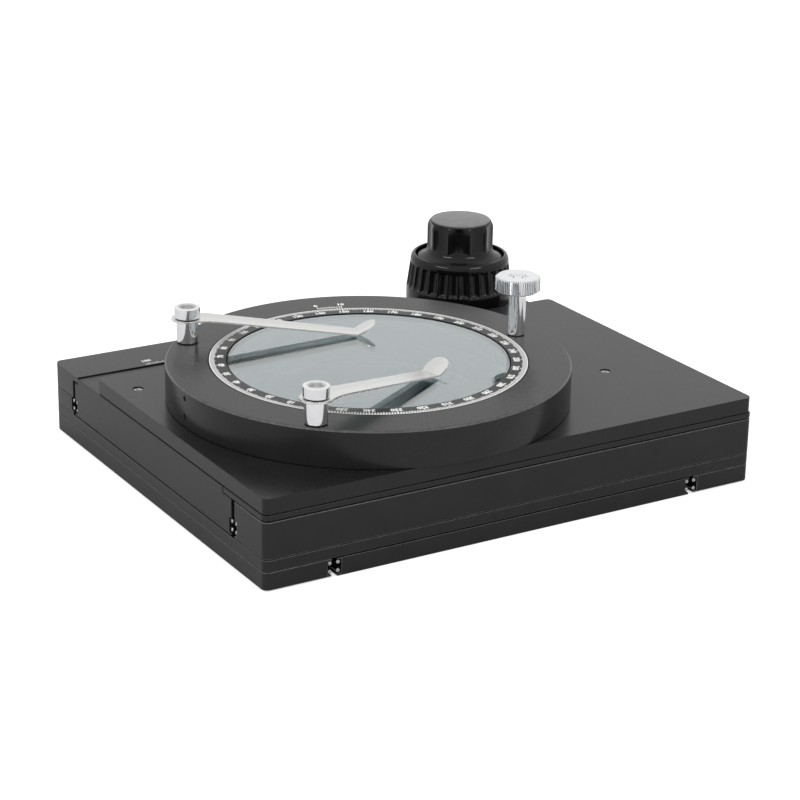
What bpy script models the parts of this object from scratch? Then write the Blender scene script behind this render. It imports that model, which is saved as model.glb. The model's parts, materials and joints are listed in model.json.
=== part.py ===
"""Mechanical microscope stage: two carriages on ball slides, a turning glass ring and coaxial knobs."""

import math

import bmesh
import bpy
from mathutils import Matrix, Vector

# Gaps left between touching pieces and between sliding ones
SEAT_GAP = 0.0003
SLIDE_AIR = 0.0007
MERGE_DISTANCE = 0.000001
CUT_OVERRUN = 0.002

# Outer size of the stage body, +X to the right and +Y to the back
BODY_LENGTH = 0.275
BODY_DEPTH = 0.232
CORNER_RADIUS = 0.003

# Layers, from the underside of the base upwards
BASE_THICKNESS = 0.0088
LIP_CLEARANCE = 0.0004
CROSS_THICKNESS = 0.0055
FRONT_BAR_HEIGHT = 0.0182
BACK_BLOCK_HEIGHT = 0.0089
BACK_COVER_HEIGHT = 0.013
FLANGE_THICKNESS = 0.0028
PLATE_THICKNESS = 0.0076
RING_HEIGHT = 0.0185

# Ball slides: four steel rods round a row of balls
ROD_RADIUS = 0.0011
ROD_OFFSET = 0.00215
ROD_INSET = 0.0006
ROD_WEB = (0.0002, 0.0009)
SLIDE_GAP = 0.0028
CAGE_THICKNESS = 0.0008
CAGE_HEIGHT = 0.005
CAGE_LENGTH = 0.15
BALLS_PER_CAGE = 6
BALL_PITCH = 0.026
Y_SLIDE_INSET = 0.0361
Y_SLIDE_Z = 0.0046
X_SLIDE_FRONT_INSET = 0.0305
X_SLIDE_BACK_INSET = 0.0236
X_SLIDE_Z = 0.0204

# Travel of the two carriages from the place that the photograph shows
Y_TRAVEL = (-0.038, 0.012)
X_TRAVEL = (-0.0325, 0.0425)

# Centre of the turning ring, which is also the light path
RING_X = -0.0287
RING_Y = -0.0205

# Light path through the layers
BASE_APERTURE = 0.030
CROSS_APERTURE_SIDE = 0.042
CARRIAGE_APERTURE = 0.054
PLATE_APERTURE = 0.060

# Stage plate on top of the X carriage
PLATE_SIDE_INSET = 0.0005
PLATE_FRONT_INSET = 0.0005
PLATE_BACK_INSET = 0.0525
BACK_LEFT_SCREW_INSETS = (0.0116, 0.0233)
FRONT_RIGHT_SCREW_INSETS = (0.042, 0.0672)
UNDER_RING_SCREW_OFFSETS = (0.0647, -0.0663)
BACK_SCREW_EDGE = 0.0235
SEAM_SCREW_EDGE = 0.0094
PLATE_COUNTERBORE_RADIUS = 0.0028
PLATE_COUNTERBORE_DEPTH = 0.0034

# Apron over the front bar, and the cover's lip at the back
APRON_DEPTH = 0.0406
APRON_AIR = 0.0005
COVER_LIP_THICKNESS = 0.0033

# Outer ring, scale ring and glass
RING_RADIUS = 0.100
RING_CHAMFER = 0.0008
RING_WALL = 0.0214
RING_GROOVE = 0.0004
LEDGE_WIDTH = 0.0066
LEDGE_HEIGHT = 0.0057
GLIDE_THICKNESS = 0.0007
GLIDE_INSET = 0.0008
SCALE_RING_SHELF = 0.006
SCALE_RING_BAND = 0.0088
GLASS_THICKNESS = 0.0055
GLASS_RECESS = 0.0005
GASKET_THICKNESS = 0.0008

# Screws
M3_HEAD_RADIUS = 0.0024
M3_HEAD_HEIGHT = 0.0024
M3_SHANK_RADIUS = 0.0013
M3_SHANK_LENGTH = 0.0075
SOCKET_SHARE = 0.52
SOCKET_DEPTH_SHARE = 0.55
GRUB_RADIUS = 0.0010
GRUB_LENGTH = 0.005
GRUB_RECESS = 0.0008
GRUB_HEIGHTS = (0.0052, 0.0144)
GRUB_ANGLE = 179.2

# Slide clips on the outer ring
CLIP_INSET = 0.007
BACK_CLIP_ANGLE = 136.5
FRONT_CLIP_ANGLE = 224.8
POST_RADIUS = 0.0055
POST_HEIGHT = 0.0112
POST_STUD_RADIUS = 0.0022
POST_STUD_LENGTH = 0.007
POST_CHAMFER = 0.0004
CAP_RADIUS = 0.0064
CAP_HEIGHT = 0.0056
CAP_SHANK_RADIUS = 0.0018
CAP_SHANK_LENGTH = 0.006
LEAF_THICKNESS = 0.0008
BACK_LEAF_ANGLE = -19.7
FRONT_LEAF_ANGLE = 20.5
LEAF_EYE_RADIUS = 0.009
LEAF_NECK_X = 0.022
LEAF_NECK_HALF = 0.0055
LEAF_BEND_X = 0.088
LEAF_BEND_HALF = 0.00515
LEAF_TIP_LENGTH = 0.0084
LEAF_TIP_HALF = 0.00615
LEAF_TIP_RISE = 0.0042
LEAF_EYE_STEPS = 5
LEAF_EYE_SWEEP = 135.0
LEAF_SLOPE_SHARES = (0.3333, 0.6667)
LEAF_ROLL_SHARE = 0.1667

# Clamp screw of the scale ring
CLAMP_FROM_SCALE_RING = 0.006
CLAMP_ANGLE = -2.6
CLAMP_HEAD_RADIUS = 0.01145
CLAMP_HEAD_HEIGHT = 0.008
CLAMP_HEAD_CHAMFER = 0.0008
CLAMP_HEAD_TEETH = 24
CLAMP_TOOTH_DEPTH = 0.0005
CLAMP_SHAFT_RADIUS = 0.00445
CLAMP_SHAFT_LENGTH = 0.0226
CLAMP_THREAD_RADIUS = 0.003
CLAMP_THREAD_LENGTH = 0.0075
CLAMP_TENON_RADIUS = 0.0022
CLAMP_TENON_LENGTH = 0.0075
CLAMP_POINT = 0.001
SHOE_LENGTH = 0.007
SHOE_WIDTH = 0.006
SHOE_HEIGHT = 0.0042
SHOE_LIFT = 0.0068

# Coaxial drive: rack and pinion for each carriage
KNOB_SIDE_INSET = 0.0364
KNOB_BACK_INSET = 0.015
TOOTH_MODULE = 0.001
PINION_TEETH = 18
TOOTH_TIP = 0.0008
TOOTH_ROOT = 0.0011
TOOTH_ROOT_SHARE = 0.30
TOOTH_TIP_SHARE = 0.12
RACK_BACKING = 0.0035
RACK_HEIGHT = 0.0052
RACK_END_MARGIN = 0.0045
PINION_AIR = 0.0008
PINION_HEIGHT = 0.0048
X_PINION_HEIGHT = 0.006
X_PINION_LIFT = 0.0012
SHAFT_RADIUS = 0.003
SLEEVE_RADIUS = 0.005
BUSH_WALL = 0.001
SLEEVE_BUSH_WALL = 0.0027
BUSH_FLANGE_RADIUS = 0.013
BUSH_FLANGE_THICKNESS = 0.0018
COVER_ROOF = 0.0043

# Lower knob, from its skirt upwards
LOWER_KNOB_LIFT = 0.0007
LOWER_KNOB_RADIUS = 0.0296
LOWER_KNOB_SHOULDER = 0.0276
LOWER_KNOB_RIM = 0.0262
LOWER_KNOB_HEIGHT = 0.0262
LOWER_SKIRT_HEIGHT = 0.0082
LOWER_FLUTE_HEIGHT = 0.0135
LOWER_FLUTE_RUNOUT = 0.0012
LOWER_SHOULDER_DROP = 0.0018
LOWER_FLUTES = 28
LOWER_FLUTE_STEPS = 3
LOWER_FLUTE_DEPTH = 0.0011
LOWER_TAPER_SHARE = 0.1667
LOWER_WELL_RADIUS = 0.0246
LOWER_WELL_DEPTH = 0.006
LOWER_HOLLOW_RADIUS = 0.0255
LOWER_HOLLOW_HEIGHT = 0.004
LOWER_GRUB_RADIUS = 0.0015
LOWER_GRUB_LENGTH = 0.006
LOWER_GRUB_ANGLE = 60.0
LOWER_GRUB_LIFT = 0.0062

# Upper knob, from its foot upwards
UPPER_KNOB_AIR = 0.0012
UPPER_FOOT_RADIUS = 0.0238
UPPER_FOOT_HEIGHT = 0.0039
UPPER_NECK_RISE = 0.0044
UPPER_KNOB_RADIUS = 0.0183
UPPER_FLUTE_HEIGHT = 0.0135
UPPER_FLUTE_RUNOUT = 0.001
UPPER_FLUTES = 12
UPPER_FLUTE_STEPS = 4
UPPER_FLUTE_DEPTH = 0.0012
UPPER_EDGE_RISE = 0.0018
KNOB_CAP_RADIUS = 0.0164
KNOB_CAP_HEIGHT = 0.0022
KNOB_CAP_WELL = 0.0017
KNOB_CAP_CROWN = 0.0009
CROWN_RADIUS_SHARE = 0.5
CROWN_HEIGHT_SHARE = 0.75
KNOB_SCREW_HEAD_RADIUS = 0.0045
KNOB_SCREW_WELL = 0.005

# Travel stops
STOP_PIN_RADIUS = 0.002
Y_STOP_FROM_SLIDE = 0.0074
Y_STOP_Y = 0.010
X_STOP_X = 0.050
X_STOP_FROM_SLIDE = 0.0224
X_STOP_HEIGHT = 0.004

# Screws that reach up from the cross plate into the back cover
BACK_SCREW_SIDE_INSET = 0.0225
BACK_SCREW_FROM_KNOB = 0.0561
BACK_SCREW_INSET = 0.0095
BACK_SCREW_LENGTH = 0.018

# Facets round the turned pieces
RING_SEGMENTS = 60
SEAL_SEGMENTS = 36
ROUND_SEGMENTS = 20
SMALL_SEGMENTS = 12
ROD_SEGMENTS = 8
CORNER_STEPS = 3
BALL_LEVEL = 1

# Places worked out from the outer size of the body
HALF_LENGTH = BODY_LENGTH / 2
HALF_DEPTH = BODY_DEPTH / 2
Y_SLIDE_X = HALF_LENGTH - Y_SLIDE_INSET
X_SLIDE_FRONT_Y = -HALF_DEPTH + X_SLIDE_FRONT_INSET
X_SLIDE_BACK_Y = HALF_DEPTH - X_SLIDE_BACK_INSET
PLATE_HALF = HALF_LENGTH - PLATE_SIDE_INSET
PLATE_BACK_Y = HALF_DEPTH - PLATE_BACK_INSET
APRON_SEAM_Y = -HALF_DEPTH + APRON_DEPTH
KNOB_X = HALF_LENGTH - KNOB_SIDE_INSET
KNOB_Y = HALF_DEPTH - KNOB_BACK_INSET
Y_STOP_X = -Y_SLIDE_X + Y_STOP_FROM_SLIDE
X_STOP_Y = X_SLIDE_BACK_Y - X_STOP_FROM_SLIDE
BACK_SCREW_COLUMNS = (-HALF_LENGTH + BACK_SCREW_SIDE_INSET, KNOB_X - BACK_SCREW_FROM_KNOB)
PLATE_SCREW_PLACES = (
    (-PLATE_HALF + BACK_LEFT_SCREW_INSETS[0], PLATE_BACK_Y - BACK_LEFT_SCREW_INSETS[1]),
    (PLATE_HALF - FRONT_RIGHT_SCREW_INSETS[0], -HALF_DEPTH + FRONT_RIGHT_SCREW_INSETS[1]),
    (RING_X + UNDER_RING_SCREW_OFFSETS[0], PLATE_BACK_Y - BACK_SCREW_EDGE),
    (RING_X + UNDER_RING_SCREW_OFFSETS[1], APRON_SEAM_Y + SEAM_SCREW_EDGE),
)

# Radii worked out inwards from the rim of the outer ring
SCALE_RING_RADIUS = RING_RADIUS - RING_WALL
LEDGE_RADIUS = SCALE_RING_RADIUS - LEDGE_WIDTH
SCALE_RING_BORE = LEDGE_RADIUS - SCALE_RING_SHELF
GLASS_RADIUS = SCALE_RING_RADIUS - SCALE_RING_BAND
CLIP_CIRCLE = RING_RADIUS - CLIP_INSET
CLAMP_CIRCLE = SCALE_RING_RADIUS + CLAMP_FROM_SCALE_RING

# Levels worked out from the layers
CROSS_BOTTOM = BASE_THICKNESS + SLIDE_AIR
CROSS_TOP = CROSS_BOTTOM + CROSS_THICKNESS
LIP_TOP = CROSS_BOTTOM - SEAT_GAP
BAR_BOTTOM = CROSS_TOP + SEAT_GAP
FRONT_BAR_TOP = BAR_BOTTOM + FRONT_BAR_HEIGHT
BLOCK_TOP = BAR_BOTTOM + BACK_BLOCK_HEIGHT
COVER_BOTTOM = BLOCK_TOP + SEAT_GAP
COVER_TOP = COVER_BOTTOM + BACK_COVER_HEIGHT
CARRIAGE_BOTTOM = CROSS_TOP + SLIDE_AIR
FLANGE_BOTTOM = FRONT_BAR_TOP + APRON_AIR
FLANGE_TOP = FLANGE_BOTTOM + FLANGE_THICKNESS
PLATE_BOTTOM = FLANGE_TOP + SEAT_GAP
PLATE_TOP = PLATE_BOTTOM + PLATE_THICKNESS
RING_BOTTOM = PLATE_TOP + SEAT_GAP
RING_TOP = RING_BOTTOM + RING_HEIGHT
LEDGE_TOP = RING_BOTTOM + LEDGE_HEIGHT
SCALE_RING_BOTTOM = LEDGE_TOP + GLIDE_THICKNESS + 2 * SEAT_GAP
GLASS_TOP = RING_TOP - GLASS_RECESS
GLASS_BOTTOM = GLASS_TOP - GLASS_THICKNESS
GLASS_SEAT = GLASS_BOTTOM - GASKET_THICKNESS - 2 * SEAT_GAP
POST_BOTTOM = RING_TOP + SEAT_GAP
LEAF_BOTTOM = POST_BOTTOM + POST_HEIGHT + SEAT_GAP
LEAF_TIP_X = LEAF_BEND_X + LEAF_TIP_LENGTH
CAP_BOTTOM = LEAF_BOTTOM + LEAF_THICKNESS + SEAT_GAP

# Slide members worked out from the slide centres
CHANNEL_HALF = ROD_OFFSET + ROD_RADIUS + SEAT_GAP
BALL_RADIUS = math.hypot(ROD_OFFSET, ROD_OFFSET) - ROD_RADIUS - SEAT_GAP
BASE_HALF_WIDTH = Y_SLIDE_X - SLIDE_GAP / 2
LIP_INNER_X = Y_SLIDE_X + SLIDE_GAP / 2
FRONT_BAR_BACK_Y = X_SLIDE_FRONT_Y - SLIDE_GAP / 2
CARRIAGE_FRONT_Y = X_SLIDE_FRONT_Y + SLIDE_GAP / 2
CARRIAGE_BACK_Y = X_SLIDE_BACK_Y - SLIDE_GAP / 2
BLOCK_FRONT_Y = X_SLIDE_BACK_Y + SLIDE_GAP / 2
LEFT_SLIDE = (-Y_SLIDE_X, 0, Y_SLIDE_Z)
RIGHT_SLIDE = (Y_SLIDE_X, 0, Y_SLIDE_Z)
FRONT_SLIDE = (0, X_SLIDE_FRONT_Y, X_SLIDE_Z)
BACK_SLIDE = (0, X_SLIDE_BACK_Y, X_SLIDE_Z)

# Gear places worked out from the knob axis
PITCH_RADIUS = TOOTH_MODULE * PINION_TEETH / 2
TOOTH_PITCH = TOOTH_MODULE * math.pi
Y_PITCH_X = KNOB_X - PITCH_RADIUS
X_PITCH_Y = KNOB_Y - PITCH_RADIUS
Y_RACK_BOTTOM = BASE_THICKNESS + SEAT_GAP
Y_RACK_BACK_X = Y_PITCH_X - TOOTH_ROOT - RACK_BACKING
X_RACK_BACK_Y = X_PITCH_Y - TOOTH_ROOT - RACK_BACKING
X_RACK_SEAT_Y = X_RACK_BACK_Y - SEAT_GAP
X_RACK_START = KNOB_X - X_TRAVEL[1] - RACK_END_MARGIN
X_PINION_BOTTOM = COVER_BOTTOM + X_PINION_LIFT
X_PINION_TOP = X_PINION_BOTTOM + X_PINION_HEIGHT
PINION_POCKET = PITCH_RADIUS + TOOTH_TIP + PINION_AIR
SHAFT_BORE = SHAFT_RADIUS + SEAT_GAP
SLEEVE_INNER = SHAFT_BORE
SLEEVE_BORE = SLEEVE_RADIUS + SEAT_GAP
SHAFT_BUSH_RADIUS = SHAFT_BORE + BUSH_WALL
SLEEVE_BUSH_RADIUS = SLEEVE_BORE + SLEEVE_BUSH_WALL
BUSH_FLANGE_TOP = COVER_TOP + SEAT_GAP + BUSH_FLANGE_THICKNESS
LOWER_KNOB_BOTTOM = BUSH_FLANGE_TOP + LOWER_KNOB_LIFT
LOWER_KNOB_TOP = LOWER_KNOB_BOTTOM + LOWER_KNOB_HEIGHT
LOWER_WELL_FLOOR = LOWER_KNOB_TOP - LOWER_WELL_DEPTH
UPPER_KNOB_BOTTOM = LOWER_WELL_FLOOR + UPPER_KNOB_AIR
UPPER_FLUTE_BOTTOM = UPPER_KNOB_BOTTOM + UPPER_FOOT_HEIGHT + UPPER_NECK_RISE
UPPER_KNOB_TOP = UPPER_FLUTE_BOTTOM + UPPER_FLUTE_HEIGHT + UPPER_EDGE_RISE
KNOB_WELL_FLOOR = UPPER_KNOB_TOP - KNOB_CAP_WELL
SHAFT_TOP = KNOB_WELL_FLOOR - KNOB_SCREW_WELL

FINISHES = {
    "black_anodised": ((0.045, 0.046, 0.047), 0.42, 0.6),
    "grey_anodised": ((0.13, 0.13, 0.135), 0.40, 0.6),
    "chrome": ((0.82, 0.82, 0.83), 0.12, 1.0),
    "satin_steel": ((0.62, 0.62, 0.63), 0.30, 1.0),
    "polished_steel": ((0.75, 0.75, 0.76), 0.18, 1.0),
    "brass": ((0.72, 0.55, 0.26), 0.30, 1.0),
    "gloss_black_plastic": ((0.012, 0.012, 0.012), 0.22, 0.0),
    "grey_cap_plastic": ((0.16, 0.16, 0.165), 0.45, 0.0),
    "black_rubber": ((0.02, 0.02, 0.02), 0.80, 0.0),
    "glide_plastic": ((0.75, 0.74, 0.70), 0.55, 0.0),
    "plate_glass": ((0.70, 0.76, 0.75), 0.06, 0.0),
}


def clear_scene():
    for old in list(bpy.data.objects):
        bpy.data.objects.remove(old, do_unlink=True)


def finish_material(name):
    material = bpy.data.materials.get(name)
    if material is None:
        colour, roughness, metallic = FINISHES[name]
        material = bpy.data.materials.new(name)
        material.use_nodes = True
        shader = material.node_tree.nodes["Principled BSDF"]
        shader.inputs["Base Color"].default_value = (*colour, 1.0)
        shader.inputs["Roughness"].default_value = roughness
        shader.inputs["Metallic"].default_value = metallic
    return material


def make_object(name, bm, finish, place=(0, 0, 0), turn=0.0, smooth=False):
    bmesh.ops.remove_doubles(bm, verts=bm.verts, dist=MERGE_DISTANCE)
    bmesh.ops.recalc_face_normals(bm, faces=bm.faces)
    mesh = bpy.data.meshes.new(name)
    bm.to_mesh(mesh)
    bm.free()
    piece = bpy.data.objects.new(name, mesh)
    bpy.context.scene.collection.objects.link(piece)
    piece.location = place
    piece.rotation_euler = (0, 0, turn)
    if smooth:
        mesh.shade_smooth()
        mesh.set_sharp_from_angle(angle=math.radians(35))
    if finish:
        mesh.materials.append(finish_material(finish))
    return piece


def cut(piece, bm, place=(0, 0, 0), operation="DIFFERENCE"):
    cutter = make_object(piece.name + "_cutter", bm, None, place)
    cutter.hide_render = True
    cutter.display_type = "WIRE"
    step = piece.modifiers.new("cut", "BOOLEAN")
    step.operation = operation
    step.solver = "EXACT"
    step.object = cutter


def joined(parts):
    whole = bmesh.new()
    for part in parts:
        scratch = bpy.data.meshes.new("scratch")
        part.to_mesh(scratch)
        part.free()
        whole.from_mesh(scratch)
        bpy.data.meshes.remove(scratch)
    return whole


def box(x_span, y_span, z_span):
    bm = bmesh.new()
    low = Vector((x_span[0], y_span[0], z_span[0]))
    high = Vector((x_span[1], y_span[1], z_span[1]))
    size = high - low
    bmesh.ops.create_cube(bm, size=1)
    bmesh.ops.scale(bm, vec=size, verts=bm.verts)
    bmesh.ops.translate(bm, vec=(low + high) / 2, verts=bm.verts)
    return bm


def prism(outline, z_span):
    bm = bmesh.new()
    face = bm.faces.new([bm.verts.new((x, y, z_span[0])) for x, y in outline])
    raised = bmesh.ops.extrude_face_region(bm, geom=[face])["geom"]
    tops = [item for item in raised if isinstance(item, bmesh.types.BMVert)]
    bmesh.ops.translate(bm, vec=(0, 0, z_span[1] - z_span[0]), verts=tops)
    return bm


def rounded_outline(x_span, y_span, radii):
    """Corner order is front left, front right, back right, back left."""
    left, right = x_span
    front, back = y_span
    corners = ((left, front), (right, front), (right, back), (left, back))
    inward = ((1, 1), (-1, 1), (-1, -1), (1, -1))
    points = []
    for index, ((x, y), (sx, sy), radius) in enumerate(zip(corners, inward, radii)):
        if radius == 0:
            points.append((x, y))
            continue
        start = math.pi + index * math.pi / 2
        for step in range(CORNER_STEPS + 1):
            angle = start + step / CORNER_STEPS * math.pi / 2
            points.append(around(math.degrees(angle), radius, (x + sx * radius, y + sy * radius)))
    return points


def slab(x_span, y_span, z_span, radii=(CORNER_RADIUS,) * 4):
    return prism(rounded_outline(x_span, y_span, radii), z_span)


def turned(profile, segments, closed=True):
    """Spins a profile of (radius, height) points about the Z axis."""
    bm = bmesh.new()
    points = [bm.verts.new((radius, 0, height)) for radius, height in profile]
    edges = [bm.edges.new(pair) for pair in zip(points, points[1:])]
    if closed:
        edges.append(bm.edges.new((points[-1], points[0])))
    bmesh.ops.spin(bm, geom=points + edges, cent=(0, 0, 0), axis=(0, 0, 1), angle=math.tau,
                   steps=segments, use_merge=True, use_duplicate=False)
    bmesh.ops.remove_doubles(bm, verts=bm.verts, dist=MERGE_DISTANCE)
    return bm


def tube(outer, inner, z_span, segments=ROUND_SEGMENTS):
    low, high = z_span
    return turned([(inner, low), (outer, low), (outer, high), (inner, high)], segments)


def cylinder(radius, z_span, place=(0, 0), segments=ROUND_SEGMENTS):
    bm = bmesh.new()
    middle = (place[0], place[1], sum(z_span) / 2)
    bmesh.ops.create_cone(bm, cap_ends=True, segments=segments, radius1=radius, radius2=radius,
                          depth=z_span[1] - z_span[0], matrix=Matrix.Translation(middle))
    return bm


def rod(radius, length, middle, axis, segments=ROD_SEGMENTS):
    bm = bmesh.new()
    turn = Vector((0, 0, 1)).rotation_difference(Vector(axis)).to_matrix().to_4x4()
    bmesh.ops.create_cone(bm, cap_ends=True, segments=segments, radius1=radius, radius2=radius,
                          depth=length, matrix=Matrix.Translation(middle) @ turn)
    return bm


def around(angle, radius, centre=(0, 0)):
    turn = math.radians(angle)
    return (centre[0] + radius * math.cos(turn), centre[1] + radius * math.sin(turn))


def on_ring(angle, radius):
    return around(angle, radius, (RING_X, RING_Y))


def move_rings(bm, rule):
    """Gives each vertex the radius and angle that the rule returns for it."""
    for vert in bm.verts:
        radius = math.hypot(vert.co.x, vert.co.y)
        if radius > MERGE_DISTANCE:
            angle = math.atan2(vert.co.y, vert.co.x)
            radius, angle = rule(radius, angle, vert.co.z)
            vert.co.x = radius * math.cos(angle)
            vert.co.y = radius * math.sin(angle)


def socket_screw(head_radius, head_height, shank_radius, shank_length):
    """Socket head screw whose head stands on z = 0, with its shank below."""
    socket = head_radius * SOCKET_SHARE
    floor = head_height * (1 - SOCKET_DEPTH_SHARE)
    profile = [(0, -shank_length), (shank_radius, -shank_length), (shank_radius, 0), (head_radius, 0),
               (head_radius, head_height), (socket, head_height), (socket, floor), (0, floor)]
    bm = turned(profile, SMALL_SEGMENTS, closed=False)

    def hexagon(radius, angle, height):
        flat = round(angle / math.tau * SMALL_SEGMENTS) % 2 == 1
        inside = abs(radius - socket) < MERGE_DISTANCE
        return radius * (math.cos(math.pi / 6) if flat and inside else 1), angle

    move_rings(bm, hexagon)
    return bm


def make_screws(name, places, seat, shank_length):
    for index, (x, y) in enumerate(places):
        screw = socket_screw(M3_HEAD_RADIUS, M3_HEAD_HEIGHT, M3_SHANK_RADIUS, shank_length)
        make_object(f"{name}_{index + 1}", screw, "polished_steel", (x, y, seat))


def hole_group(places, radius, z_span, segments=SMALL_SEGMENTS):
    return joined([cylinder(radius + SEAT_GAP, z_span, place, segments) for place in places])


def channel_y(x_middle):
    """Cutter for the slide channel that runs along Y, open across the slide gap."""
    reach = HALF_DEPTH + CUT_OVERRUN
    return box((x_middle - CHANNEL_HALF, x_middle + CHANNEL_HALF), (-reach, reach),
               (Y_SLIDE_Z - CHANNEL_HALF, Y_SLIDE_Z + CHANNEL_HALF))


def channel_x(y_middle, top=X_SLIDE_Z + CHANNEL_HALF):
    """Cutter for the slide channel that runs along X."""
    reach = HALF_LENGTH + CUT_OVERRUN
    return box((-reach, reach), (y_middle - CHANNEL_HALF, y_middle + CHANNEL_HALF),
               (X_SLIDE_Z - CHANNEL_HALF, top))


def rod_pair_outline():
    """Cross-section of two rods, one above the other, joined by a thin web; +X points away from the balls."""
    points = []
    for level, near, far in ((1, ROD_WEB[1], ROD_WEB[0]), (-1, ROD_WEB[0], ROD_WEB[1])):
        start = -level * math.acos(near / ROD_RADIUS)
        stop = math.tau - level * math.acos(far / ROD_RADIUS)
        for step in range(ROD_SEGMENTS + 1):
            angle = start + (stop - start) * step / ROD_SEGMENTS
            points.append((ROD_RADIUS * math.cos(angle), level * ROD_OFFSET + ROD_RADIUS * math.sin(angle)))
    return points


def make_rod_pair(name, slide, outward, along):
    """Two hardened rods of one side of a slide; outward is the way from the balls to the rods."""
    length = (BODY_LENGTH if along == "X" else BODY_DEPTH) - 2 * ROD_INSET
    bm = prism(rod_pair_outline(), (-length / 2, length / 2))
    for vert in bm.verts:
        across, up, forward = vert.co
        across = outward * (ROD_OFFSET + across)
        vert.co = (forward, across, up) if along == "X" else (across, forward, up)
    return make_object(name, bm, "polished_steel", slide, smooth=True)


def ball_row():
    first = -(BALLS_PER_CAGE - 1) * BALL_PITCH / 2
    return [first + index * BALL_PITCH for index in range(BALLS_PER_CAGE)]


def ball(place):
    bm = bmesh.new()
    middle = Matrix.Translation(place)
    bmesh.ops.create_icosphere(bm, subdivisions=BALL_LEVEL, radius=BALL_RADIUS, matrix=middle)
    return bm


def make_cage(name, slide, along):
    """A thin strip that carries the row of balls of one slide."""
    half = CAGE_LENGTH / 2
    thin = CAGE_THICKNESS / 2
    height = (-CAGE_HEIGHT / 2, CAGE_HEIGHT / 2)
    long_side = (-half, half)
    thin_side = (-thin, thin)
    if along == "X":
        strip = box(long_side, thin_side, height)
        balls = [ball((step, 0, 0)) for step in ball_row()]
    else:
        strip = box(thin_side, long_side, height)
        balls = [ball((0, step, 0)) for step in ball_row()]
    cage = make_object(name, strip, "brass", slide)
    cut(cage, joined(balls), slide, "UNION")


def rack_outline(start, stop, phase):
    """Rack along +X with its teeth towards +Y; the pitch line is y = 0 and a gap is centred on phase."""
    back = -TOOTH_ROOT - RACK_BACKING
    points = [(stop, back), (stop, -TOOTH_ROOT)]
    first = math.ceil((start - phase) / TOOTH_PITCH - 0.5)
    last = math.floor((stop - phase) / TOOTH_PITCH - 0.5)
    for index in range(last, first - 1, -1):
        middle = phase + (index + 0.5) * TOOTH_PITCH
        if middle - TOOTH_PITCH / 2 < start or middle + TOOTH_PITCH / 2 > stop:
            continue
        points.append((middle + TOOTH_ROOT_SHARE * TOOTH_PITCH, -TOOTH_ROOT))
        points.append((middle + TOOTH_TIP_SHARE * TOOTH_PITCH, TOOTH_TIP))
        points.append((middle - TOOTH_TIP_SHARE * TOOTH_PITCH, TOOTH_TIP))
        points.append((middle - TOOTH_ROOT_SHARE * TOOTH_PITCH, -TOOTH_ROOT))
    points += [(start, -TOOTH_ROOT), (start, back)]
    return points


def make_pinion(name, bore, z_span, towards):
    """Spur pinion on the knob axis, with a tooth that points at the angle towards."""
    outline = []
    for tooth in range(PINION_TEETH):
        for share, rise in ((-TOOTH_ROOT_SHARE, -TOOTH_ROOT), (-TOOTH_TIP_SHARE, TOOTH_TIP),
                            (TOOTH_TIP_SHARE, TOOTH_TIP), (TOOTH_ROOT_SHARE, -TOOTH_ROOT)):
            angle = towards + (tooth + share) * math.tau / PINION_TEETH
            radius = PITCH_RADIUS + rise
            outline.append((radius * math.cos(angle), radius * math.sin(angle)))
    axis = (KNOB_X, KNOB_Y, 0)
    gear = make_object(name, prism(outline, z_span), "brass", axis)
    cut(gear, cylinder(bore, (z_span[0] - CUT_OVERRUN, z_span[1] + CUT_OVERRUN)), axis)


def make_base():
    base = make_object("base_plate", slab((-BASE_HALF_WIDTH, BASE_HALF_WIDTH), (-HALF_DEPTH, HALF_DEPTH),
                                          (0, BASE_THICKNESS), (0, 0, 0, 0)), "black_anodised")
    cut(base, joined([channel_y(-Y_SLIDE_X), channel_y(Y_SLIDE_X)]))
    through = (-CUT_OVERRUN, BASE_THICKNESS + CUT_OVERRUN)
    cut(base, cylinder(BASE_APERTURE, through, (RING_X, RING_Y), RING_SEGMENTS))
    make_rod_pair("base_rods_left", LEFT_SLIDE, 1, "Y")
    make_rod_pair("base_rods_right", RIGHT_SLIDE, -1, "Y")
    pin_span = (BASE_THICKNESS + SEAT_GAP, CROSS_TOP - SEAT_GAP)
    pin = cylinder(STOP_PIN_RADIUS, pin_span, segments=SMALL_SEGMENTS)
    make_object("y_stop_pin", pin, "polished_steel", (Y_STOP_X, Y_STOP_Y, 0), smooth=True)


def make_y_rack():
    start = KNOB_Y + Y_TRAVEL[0] - RACK_END_MARGIN
    stop = HALF_DEPTH - ROD_INSET
    bm = prism(rack_outline(-stop, -start, -KNOB_Y), (Y_RACK_BOTTOM, Y_RACK_BOTTOM + RACK_HEIGHT))
    bmesh.ops.rotate(bm, cent=(0, 0, 0), matrix=Matrix.Rotation(-math.pi / 2, 3, "Z"), verts=bm.verts)
    bmesh.ops.translate(bm, vec=(Y_PITCH_X, 0, 0), verts=bm.verts)
    make_object("y_rack", bm, "satin_steel")


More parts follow.
